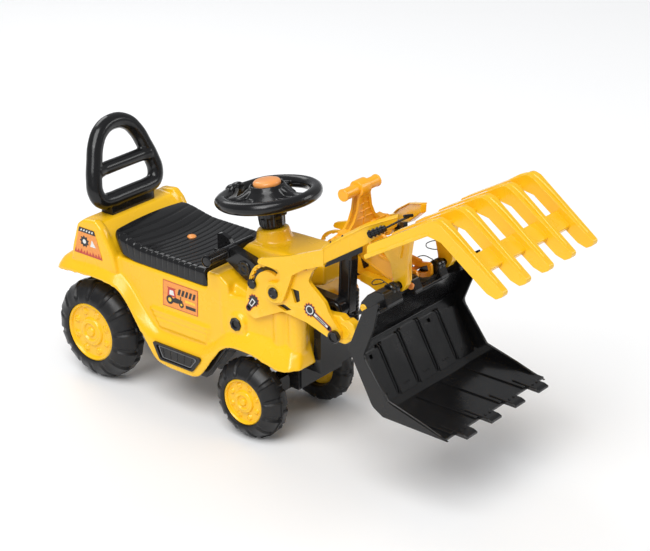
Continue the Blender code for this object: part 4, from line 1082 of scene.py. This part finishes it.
# ---- bucket lever --------------------------------------------------------------------------------
def bucket_lever():
    grip_x, grip_z, grip_ends = 0.505, 0.45, (-0.0465, 0.0385)
    parts = [rounded_rod("grip", *[(grip_x, y, grip_z) for y in grip_ends], 0.0092, soft=0.003)]
    collar = [(0.008, -0.012), (0.0128, -0.0115), (0.0138, -0.01), (0.0138, 0.01), (0.0128, 0.0115),
        (0.008, 0.012)]
    parts.append(lathe("collar", collar, (grip_x, -0.002, grip_z), (0, 1, 0), 36))
    for y, way in zip(grip_ends, (-1, 1)):
        end = [(0, -0.004), (0.0094, -0.004), (0.01, -0.003), (0.01, -0.0006), (0.0094, 0), (0.0072, 0),
            (0.0066, -0.001), (0, -0.001)]
        parts.append(lathe("end", end, (grip_x, y, grip_z), (0, way, 0), 32))
    half = [(0.013, 0.445), (0.018, 0.418), (0.026, 0.402, 0.01), (0.04, 0.3885), (0.068, 0.3835),
        (0.068, 0.3755)]
    inner = [(0.0085, 0.434, 0.002), (0.0125, 0.416), (0.022, 0.399, 0.006), (0.03, 0.389)]
    outline = half + [(-p[0], *p[1:]) for p in reversed(half)]
    recess = inner + [(-p[0], *p[1:]) for p in reversed(inner)]
    stem = prism("stem", outline, -0.5105, -0.5005, soft=0.0018)
    border = prism("border", outline, -0.5125, -0.4985, [recess], soft=0.0014)
    ribs = [block("rib", (-width, width), (-0.5118, -0.4992), (z, z + 0.0022), 0.0007)
            for width, z in ((0.011, 0.424), (0.014, 0.412), (0.022, 0.401))]
    spine = block("spine", (-0.0012, 0.0012), (-0.5118, -0.4992), (0.389, 0.436), 0.0007)
    for part in (stem, border, spine, *ribs):
        part.data.transform(Matrix.Rotation(radians(90), 4, "Z"))
        parts.append(part)
    hole = ring_points((DIPPER_PIVOT.x, DIPPER_PIVOT.z), 0.0046, 14)
    for side in (-1, 1):
        ear = [(0.5, 0.386), (0.5, 0.354, 0.01), (0.524, 0.354, 0.01), (0.524, 0.378), (0.511, 0.388)]
        parts.append(prism("ear", ear, *span(side, 0.0535, 0.0615), [hole], soft=0.0016))
        strut = [(0.4992, 0.39), (0.4992, 0.354, 0.008), (0.53, 0.34), (0.575, 0.3235), (0.613, 0.3218, 0.01),
            (0.6305, 0.3285, 0.006), (0.629, 0.3505, 0.006), (0.612, 0.347, 0.006), (0.56, 0.353),
            (0.524, 0.376), (0.5118, 0.39)]
        slot = [(0.589, 0.33), (0.598, 0.3284), (0.6085, 0.3286), (0.615, 0.3306), (0.6245, 0.3352),
            (0.6218, 0.3448), (0.612, 0.3402), (0.606, 0.3384), (0.598, 0.3378), (0.5905, 0.3392)]
        parts.append(prism("strut", strut, *span(side, 0.016, 0.021), [hole, slot], soft=0.0012))
        # flanged edges of the struts
        for edge in ([(0.515, 0.385), (0.53, 0.3735), (0.56, 0.354), (0.608, 0.3475)], [(0.508, 0.352),
                (0.53, 0.341), (0.574, 0.325), (0.608, 0.3235)]):
            parts.append(tube("flange", [(x, side * 0.0185, z) for x, z in edge], 0.0034, smooth=False))
        parts.append(prism("shoulder", [(0.5, 0.392), (0.5, 0.37, 0.004), (0.518, 0.366, 0.006),
            (0.513, 0.39)], *span(side, 0.021, 0.0535), soft=0.0018))
    place(joined("bucket_lever_frame", *parts), SHADED_YELLOW, "bucket_lever", "bucket_lever")


bucket_lever()


# ---- bucket --------------------------------------------------------------------------------------
def on_slope(obj, origin, along):
    """Move a piece laid out in (y, thickness, distance along) onto a sloping wall."""
    down = Vector(along).normalized()
    across = Vector((0, 1, 0))
    out = down.cross(across)
    turn = Matrix((across, out, down)).transposed().to_4x4()
    obj.data.transform(Matrix.Translation(origin) @ turn)
    return obj


PANEL_PITCH, STRIP_PITCH = 0.0506, 0.064


def bucket():
    half, hook_in, hook_out = 0.131, 0.0425, 0.0735
    walls = [(0.612, 0.312), (0.5855, 0.248, 0.006), (0.634, 0.164, 0.012), (0.652, 0.153, 0.01),
        (0.77, 0.1515), (0.77, 0.1555), (0.6535, 0.158, 0.008), (0.6375, 0.168, 0.01), (0.591, 0.248, 0.004),
        (0.616, 0.3085)]
    parts = [prism("walls", walls, -half, half, soft=0.0009)]
    lip = [(0.61, 0.308), (0.612, 0.312), (0.643, 0.3275), (0.645, 0.323), (0.616, 0.3085), (0.614, 0.304)]
    for y0, y1 in ((-half, -hook_out), (-hook_in, hook_in), (hook_out, half)):
        parts.append(prism("lip", lip, y0, y1, soft=0.0011))
    cheek = [(0.642, 0.34, 0.002), (0.612, 0.319, 0.006), (0.585, 0.248, 0.01), (0.632, 0.164, 0.02),
        (0.652, 0.1525), (0.773, 0.151), (0.72, 0.165), (0.662, 0.18, 0.01), (0.613, 0.243, 0.012),
        (0.633, 0.295)]
    bead = [(0.6395, 0.335), (0.6318, 0.295), (0.6118, 0.243), (0.661, 0.1812), (0.719, 0.1662),
        (0.765, 0.1525)]
    for side in (-1, 1):
        parts.append(prism("cheek", cheek, *span(side, 0.1275, 0.132), soft=0.0014))
        parts.append(tube("bead", [(x, side * 0.1285, z) for x, z in bead], 0.0019, smooth=False))
    # hinge blocks over the lip, each with a ring about the hooks' axis
    block_side = [(0.6445, 0.3235), (0.6435, 0.329, 0.002), (0.635, 0.346, 0.006), (0.62, 0.346, 0.006),
        (0.604, 0.3345, 0.006), (0.593, 0.32, 0.006), (0.586, 0.296), (0.612, 0.308)]
    for y0, y1 in ((-0.112, -0.0735), (-0.0425, -0.024), (0.024, 0.0425), (0.0735, 0.112)):
        parts.append(prism("hinge_block", block_side, y0, y1, soft=0.0018))
    # raised panels on the lower back with paired ridges between them
    top, foot = Vector((0.591, 0, 0.248)), Vector((0.6375, 0, 0.168))
    run = foot - top
    for i in range(5):
        y = (i - 2) * PANEL_PITCH
        start = (0.013, 0.007, 0.003, 0.007, 0.013)[i]
        shape = [(y - 0.0205, start + 0.003, 0.003), (y + 0.0205, start + 0.003, 0.003),
            (y + 0.0205, 0.098, 0.002), (y - 0.0205, 0.098, 0.002)]
        slots = [[(y - 0.014, start + 0.008, 0.001), (y + 0.002, start + 0.008, 0.001),
            (y + 0.002, start + 0.0145, 0.001), (y - 0.014, start + 0.0145, 0.001)]] if i in (0, 3) else []
        parts.append(on_slope(prism("panel", shape, -0.001, 0.0036, slots, soft=0.001), top, run))
        for k in range(3):
            parts.append(on_slope(rounded_rod("stud", (y - 0.006 + 0.006 * k, 0.003, 0.085),
                (y - 0.006 + 0.006 * k, 0.005, 0.085), 0.0014, soft=0.0009, steps=10), top, run))
        if i < 4:
            for shift in (-0.0029, 0.0029):
                line = y + PANEL_PITCH / 2 + shift
                ridge = tube("ridge", [(line, 0.001, start * 0.6 + 0.004),
                    (line, 0.0036, start * 0.6 + 0.009), (line, 0.0036, 0.086), (line, 0.0012, 0.095)],
                    0.0017, smooth=False)
                parts.append(on_slope(ridge, top, run))
    # floor: four raised strips that end in flat teeth
    for i in range(4):
        y = (i - 1.5) * STRIP_PITCH
        strip = [(y - 0.0245, 0.001, 0.003), (y + 0.0245, 0.001, 0.003), (y + 0.0205, 0.112, 0.002),
            (y - 0.0205, 0.112, 0.002)]
        parts.append(on_slope(prism("strip", strip, -0.001, 0.0023, soft=0.0009), Vector((0.656, 0, 0.158)),
            Vector((0.1165, 0, -0.0025))))
        tooth = [(0.742, 0.153), (0.742, 0.1605, 0.001), (0.786, 0.1588, 0.002), (0.793, 0.156),
            (0.793, 0.1525)]
        parts.append(prism("tooth", tooth, y - 0.0135, y + 0.0135, soft=0.0011))
        for shift in (-0.0055, 0.0055):
            parts.append(rounded_rod("pip", (0.7755, y + shift, 0.156), (0.7755, y + shift, 0.161), 0.0019,
                soft=0.001, steps=12))
    # long ribs across the outside of the back
    for y in (-0.095, -0.032, 0.032, 0.095):
        outer = [(0.605, 0.299), (0.582, 0.248, 0.006), (0.63, 0.164, 0.01), (0.648, 0.151, 0.006),
            (0.74, 0.15), (0.74, 0.1525), (0.652, 0.154, 0.006), (0.635, 0.166, 0.008), (0.587, 0.248, 0.004),
            (0.608, 0.299)]
        parts.append(prism("outer_rib", outer, y - 0.002, y + 0.002, soft=0.0007))
    place(joined("bucket_scoop", *parts), BLACK, "bucket", "bucket", angle=30)
    for word, y in (("right", -0.09), ("left", 0.026)):
        at = Vector((BUCKET_PIVOT.x, y, BUCKET_PIVOT.z))
        head = [(0, 0), (0.0086, 0), (0.0102, 0.0014), (0.0102, 0.005), (0.0086, 0.006), (0.0086, 0.0092),
            (0.0102, 0.0102), (0.0102, 0.015), (0.009, 0.016), (0.005, 0.016), (0.005, 0.047), (0.004, 0.048),
            (0, 0.048)]
        place(lathe(f"hook_pin_{word}", head, at, (0, 1, 0), 32), BLACK, "bucket", f"bucket_pin_{word}")
    # bright plugs at the ends of the hinge pins
    plug = [(0, -0.002), (0.0062, -0.002), (0.0062, 0.0008), (0.0054, 0.0016), (0.003, 0.0016),
        (0.0024, 0.001), (0, 0.001)]
    for word, side in SIDES:
        place(lathe(f"bucket_plug_{word}", plug, (0.5985, side * 0.112, 0.312), (0, side, 0), 24), YELLOW,
            "bucket")
    place(lathe("hook_plug", plug, (0.634, -0.0425, 0.3345), (0, -1, 0), 24), ORANGE, "bucket")
    place(rounded_rod("lug_pin", (0.598, -0.038, 0.333), (0.598, 0.038, 0.333), 0.0038, soft=0.001), ORANGE,
        "bucket", "bucket_lug_pin")
    # thin moulded loops that keep the hook pins
    loops = (("outer", [(0.623, -0.086, 0.35), (0.61, -0.088, 0.354), (0.596, -0.088, 0.346),
        (0.595, -0.087, 0.342), (0.605, -0.085, 0.344), (0.616, -0.085, 0.35)]), ("middle",
        [(0.623, 0.03, 0.35), (0.608, 0.026, 0.354), (0.594, 0.023, 0.346), (0.588, 0.023, 0.335),
        (0.59, 0.0235, 0.328)]), ("far", [(0.625, 0.072, 0.35), (0.61, 0.07, 0.362), (0.588, 0.068, 0.358),
        (0.582, 0.067, 0.35), (0.592, 0.068, 0.347), (0.605, 0.0735, 0.348)]))
    for name, points in loops:
        place(tube(f"pin_loop_{name}", points, 0.0008), BLACK, "bucket")


bucket()


# ---- steering wheel ------------------------------------------------------------------------------
WHEEL_HUB = COLUMN_TOP + LEAN * 0.046
RIM_R, RIM_TUBE, RIM_GAP = 0.0775, 0.011, radians(24)


def on_column(obj):
    """Move a piece laid out about the hub (x ahead, z along the column) into the layout frame."""
    turn = Matrix((Vector((cos(TILT), 0, sin(TILT))), Vector((0, 1, 0)), LEAN)).transposed().to_4x4()
    obj.data.transform(Matrix.Translation(WHEEL_HUB) @ turn)
    return obj


def steering_wheel():
    def at(radius, angle, height):
        return Vector((radius * cos(angle), radius * sin(angle), height))

    steps = 30
    arc = [at(RIM_R, -pi + RIM_GAP + (2 * pi - 2 * RIM_GAP) * k / steps, 0) for k in range(steps + 1)]
    curl = [(0.0775, 0.975, 0.0002), (0.0765, 0.958, 0.0016), (0.0725, 0.945, 0.0038), (0.0675, 0.94, 0.005),
        (0.064, 0.94, 0.005)]
    swells = [1.0, 1.0, 0.96, 0.86, 0.55]
    first = [at(r, -pi + RIM_GAP * (1 - share) * 4, z) for r, share, z in reversed(curl)]
    last = [at(r, pi - RIM_GAP * (1 - share) * 4, z) for r, share, z in curl]
    radii = list(reversed(swells)) + [1.0] * (steps - 3) + swells
    parts = [tube("rim", first + arc[2:-2] + last, RIM_TUBE, radii=radii, resolution=5)]
    hub = [(0, -0.01), (0.036, -0.01), (0.046, -0.006), (0.045, -0.001), (0.039, 0.0055), (0.0325, 0.012),
        (0.0292, 0.018), (0.0278, 0.0198), (0.0262, 0.0192), (0.0254, 0.0125), (0, 0.0125)]
    parts.append(lathe("hub", hub, (0, 0, 0), (0, 0, 1), 56))
    for angle, wide in ((-radians(118), 0.026), (radians(118), 0.026), (0, 0.024)):
        outline = [(0.02, -wide), (0.05, -wide * 0.8), (0.075, -wide * 0.95), (0.075, wide * 0.95),
            (0.05, wide * 0.8), (0.02, wide)]
        spoke = prism("spoke", outline, -0.0035, 0.0035, soft=0.0015)
        spoke.data.transform(Matrix.Rotation(angle, 4, "Z") @ Matrix.Rotation(radians(-90), 4, "X"))
        parts.append(spoke)
        crown = [at(0.03, angle, 0.0105), at(0.044, angle, 0.005), at(0.058, angle, 0.003),
            at(0.072, angle, 0.003)]
        parts.append(tube("spoke_crown", crown, 0.0062, radii=[1.3, 1.0, 0.8, 0.9]))
    collar = [(0, -0.0532), (0.019, -0.0532), (0.02, -0.0515), (0.0206, -0.036), (0.0216, -0.035),
        (0.0222, -0.02), (0.0268, -0.0185), (0.0275, -0.015), (0.03, -0.011), (0.028, -0.005), (0, -0.005)]
    parts.append(lathe("collar", collar, (0, 0, 0), (0, 0, 1), 40))
    for k in range(10):
        angle = 2 * pi * k / 10
        parts.append(tube("collar_rib", [at(0.0206, angle, -0.05), at(0.0218, angle, -0.021)], 0.0014,
            smooth=False))
    for angle in (radians(20), radians(200)):
        parts.append(rounded_rod("collar_knob", at(0.018, angle, -0.029), at(0.0272, angle, -0.029), 0.0052,
            soft=0.0016, steps=20))
    place(on_column(cast(joined("steering_rim", *parts), 0.0013, 3)), BLACK,
        "steering", "steering_wheel", angle=60)
    disc = [(0, -0.001), (0.0224, -0.001), (0.023, 0.0018), (0.0224, 0.0046), (0.0204, 0.0066),
        (0.0172, 0.0078), (0.009, 0.0086), (0, 0.0088)]
    button = lathe("horn_disc", disc, (0, 0, 0.0186), (0, 0, 1), 48)
    place(on_column(button), ORANGE, "horn", "horn_button")


steering_wheel()


# ---- printed films -------------------------------------------------------------------------------
FILM_HALF, OUTSIDE, BODY_FACE = 0.0001, 0.3, 0.095


def film(name, material, outlines, side, lift, face=None):
    """Thin printed shapes laid on the body's own surface, or on a flat side plate at y = face."""
    shapes = [prism("shape", outline, -FILM_HALF, FILM_HALF, soft=0) for outline in outlines]
    whole = joined(name, *shapes)
    for vertex in whole.data.vertices:
        surface = face
        if face is None:
            hit, spot, _, _ = SHELL.ray_cast(Vector((vertex.co.x + X0, side * OUTSIDE, vertex.co.z)),
                Vector((0, -side, 0)))
            surface = abs(spot.y) if hit else BODY_FACE
        vertex.co.y = side * (surface + lift) + vertex.co.y
    return place(whole, material, "vehicle")


def framed(corner_points):
    """Map (across, down) shares of a four-cornered film to the layout frame."""
    a, b, c, d = (Vector(p) for p in corner_points)

    def at(across, down):
        return tuple((a * (1 - across) + b * across) * (1 - down) + (d * (1 - across) + c * across) * down)
    return at


def side_film(word, side):
    """Orange card with a small tractor and plain bars."""
    at = framed([(0.1638, 0.2308), (0.242, 0.2308), (0.2412, 0.1848), (0.163, 0.1843)])
    flip = (lambda u: u) if side < 0 else (lambda u: 1 - u)

    def shape(*points):
        return [at(flip(u), v) for u, v in points]

    def disc(u, v, radius, steps=22):
        return ring_points(at(flip(u), v), radius, steps)

    film(f"card_edge_{word}", INK_RED, [shape((0, 0), (1, 0), (1, 1), (0, 1))], side, 0.00045)
    film(f"card_{word}", INK_ORANGE, [shape((0.016, 0.026), (0.984, 0.026), (0.984, 0.974), (0.016, 0.974))],
        side, 0.0006)
    film(f"card_cab_{word}", INK_RED, [shape((0.13, 0.56), (0.15, 0.26), (0.34, 0.26), (0.38, 0.56)),
        shape((0.12, 0.26), (0.13, 0.22), (0.36, 0.22), (0.37, 0.26))], side, 0.00075)
    film(f"card_window_{word}", INK_WHITE, [shape((0.19, 0.5), (0.2, 0.32), (0.3, 0.32), (0.33, 0.5))], side,
        0.0009)
    film(f"card_tractor_{word}", INK_BLACK, [disc(0.205, 0.7, 0.0078), disc(0.535, 0.76, 0.0052),
        shape((0.3, 0.62), (0.36, 0.56), (0.56, 0.6), (0.58, 0.72), (0.4, 0.76), (0.3, 0.76)),
        shape((0.5, 0.6), (0.5, 0.46), (0.525, 0.46), (0.525, 0.6))], side, 0.00085)
    film(f"card_hubs_{word}", INK_YELLOW, [disc(0.205, 0.7, 0.0037), disc(0.535, 0.76, 0.0022),
        shape((0.64, 0.52), (0.93, 0.52), (0.93, 0.62), (0.64, 0.62))], side, 0.001)
    bars = [shape((0.42 + 0.105 * k, 0.42), (0.46 + 0.105 * k, 0.18), (0.525 + 0.105 * k, 0.18),
        (0.485 + 0.105 * k, 0.42)) for k in range(5)]
    bars.append(shape((0.66, 0.72), (0.94, 0.72), (0.94, 0.84), (0.66, 0.84)))
    film(f"card_bars_{word}", INK_BLACK, bars, side, 0.0008)


def wing_film(word, side):
    """Trapezoid film on the wing: hazard bar, a gear and a row of flames, all plain shapes."""
    at = framed([(-0.0195, 0.28), (0.016, 0.28), (0.033, 0.231), (-0.0335, 0.231)])

    def shape(*points):
        return [at(u, v) for u, v in points]

    film(f"wing_card_{word}", INK_ORANGE, [shape((0, 0), (1, 0), (1, 1), (0, 1))], side, 0.0005)
    film(f"wing_bar_{word}", INK_BLACK, [shape((0, 0), (1, 0), (1, 0.17), (0, 0.17)),
        gear(at(0.36, 0.5), 0.0082, 0.0105, 9)], side, 0.0007)
    film(f"wing_dashes_{word}", INK_WHITE, [shape((0.1 + 0.17 * k, 0.12), (0.15 + 0.17 * k, 0.05),
        (0.23 + 0.17 * k, 0.05), (0.18 + 0.17 * k, 0.12)) for k in range(5)]
        + [ring_points(at(0.36, 0.5), 0.004, 18), shape((0.62, 0.62), (0.74, 0.36), (0.86, 0.62))], side,
        0.0009)
    flames = [(0, 1.0)]
    for k in range(9):
        flames += [(k / 9 + 0.02, 0.8 + 0.04 * (k % 2)), (k / 9 + 0.075, 0.97)]
    film(f"wing_flames_{word}", INK_RED, [shape(*flames, (1, 0.8), (1, 1.0))], side, 0.0007)


def gear(centre, inner, outer, teeth):
    points = []
    for k in range(teeth * 4):
        radius = outer if k % 4 in (1, 2) else inner
        points.append(polar(radius, 2 * pi * k / (teeth * 4), centre))
    return points


def bar_between(start, end, half, end_half=None):
    start, end = Vector(start), Vector(end)
    across = (end - start).normalized().orthogonal()
    last = half if end_half is None else end_half
    return [tuple(start + across * half), tuple(start - across * half), tuple(end - across * last),
        tuple(end + across * last)]


def frame_films(word, side):
    """Gear-and-link graphics on the side frame's two legs."""
    low, low_end = (0.36, 0.2475), (0.3485, 0.231)
    leg, leg_end = (0.476, 0.265), (0.515, 0.2445)
    film(f"frame_edges_{word}", INK_RED, [gear(leg, 0.0102, 0.0122, 12),
        bar_between(leg, leg_end, 0.0056, 0.0046), ring_points(leg_end, 0.0048, 16),
        gear(low, 0.0094, 0.0112, 11), bar_between(low, low_end, 0.0072, 0.0052),
        ring_points(low_end, 0.0054, 16)], side, 0.0003, face=FRAME_FACE)
    film(f"frame_gears_{word}", INK_BLACK, [gear(leg, 0.0088, 0.0108, 12),
        bar_between(leg, leg_end, 0.0042, 0.0034), ring_points(leg_end, 0.0036, 16),
        gear(low, 0.0082, 0.01, 11), bar_between(low, low_end, 0.006, 0.004),
        ring_points(low_end, 0.0042, 16)], side, 0.00045, face=FRAME_FACE)
    film(f"frame_rings_{word}", INK_WHITE, [ring_points(leg, 0.0074, 24),
        bar_between((0.485, 0.2603), (0.512, 0.2461), 0.0022, 0.0018),
        bar_between((0.3605, 0.2485), (0.353, 0.2375), 0.0044, 0.0036)], side, 0.0006, face=FRAME_FACE)
    film(f"frame_cores_{word}", INK_BLACK, [ring_points(leg, 0.0056, 24),
        bar_between((0.49, 0.2576), (0.508, 0.2482), 0.001, 0.0008),
        bar_between((0.3595, 0.247), (0.354, 0.239), 0.0026, 0.002)], side, 0.00075, face=FRAME_FACE)


for side_word, side_sign in SIDES:
    side_film(side_word, side_sign)
    wing_film(side_word, side_sign)
    frame_films(side_word, side_sign)

for shown, finish in (("chassis", BLACK), ("front_carrier", BLACK), ("rear_axle", STEEL),
        ("front_axle", STEEL), ("steering_column", BLACK), ("lift_lever_pin", BLACK)):
    materials = frame["nodes"][shown].data.materials
    materials.clear()
    materials.append(finish)
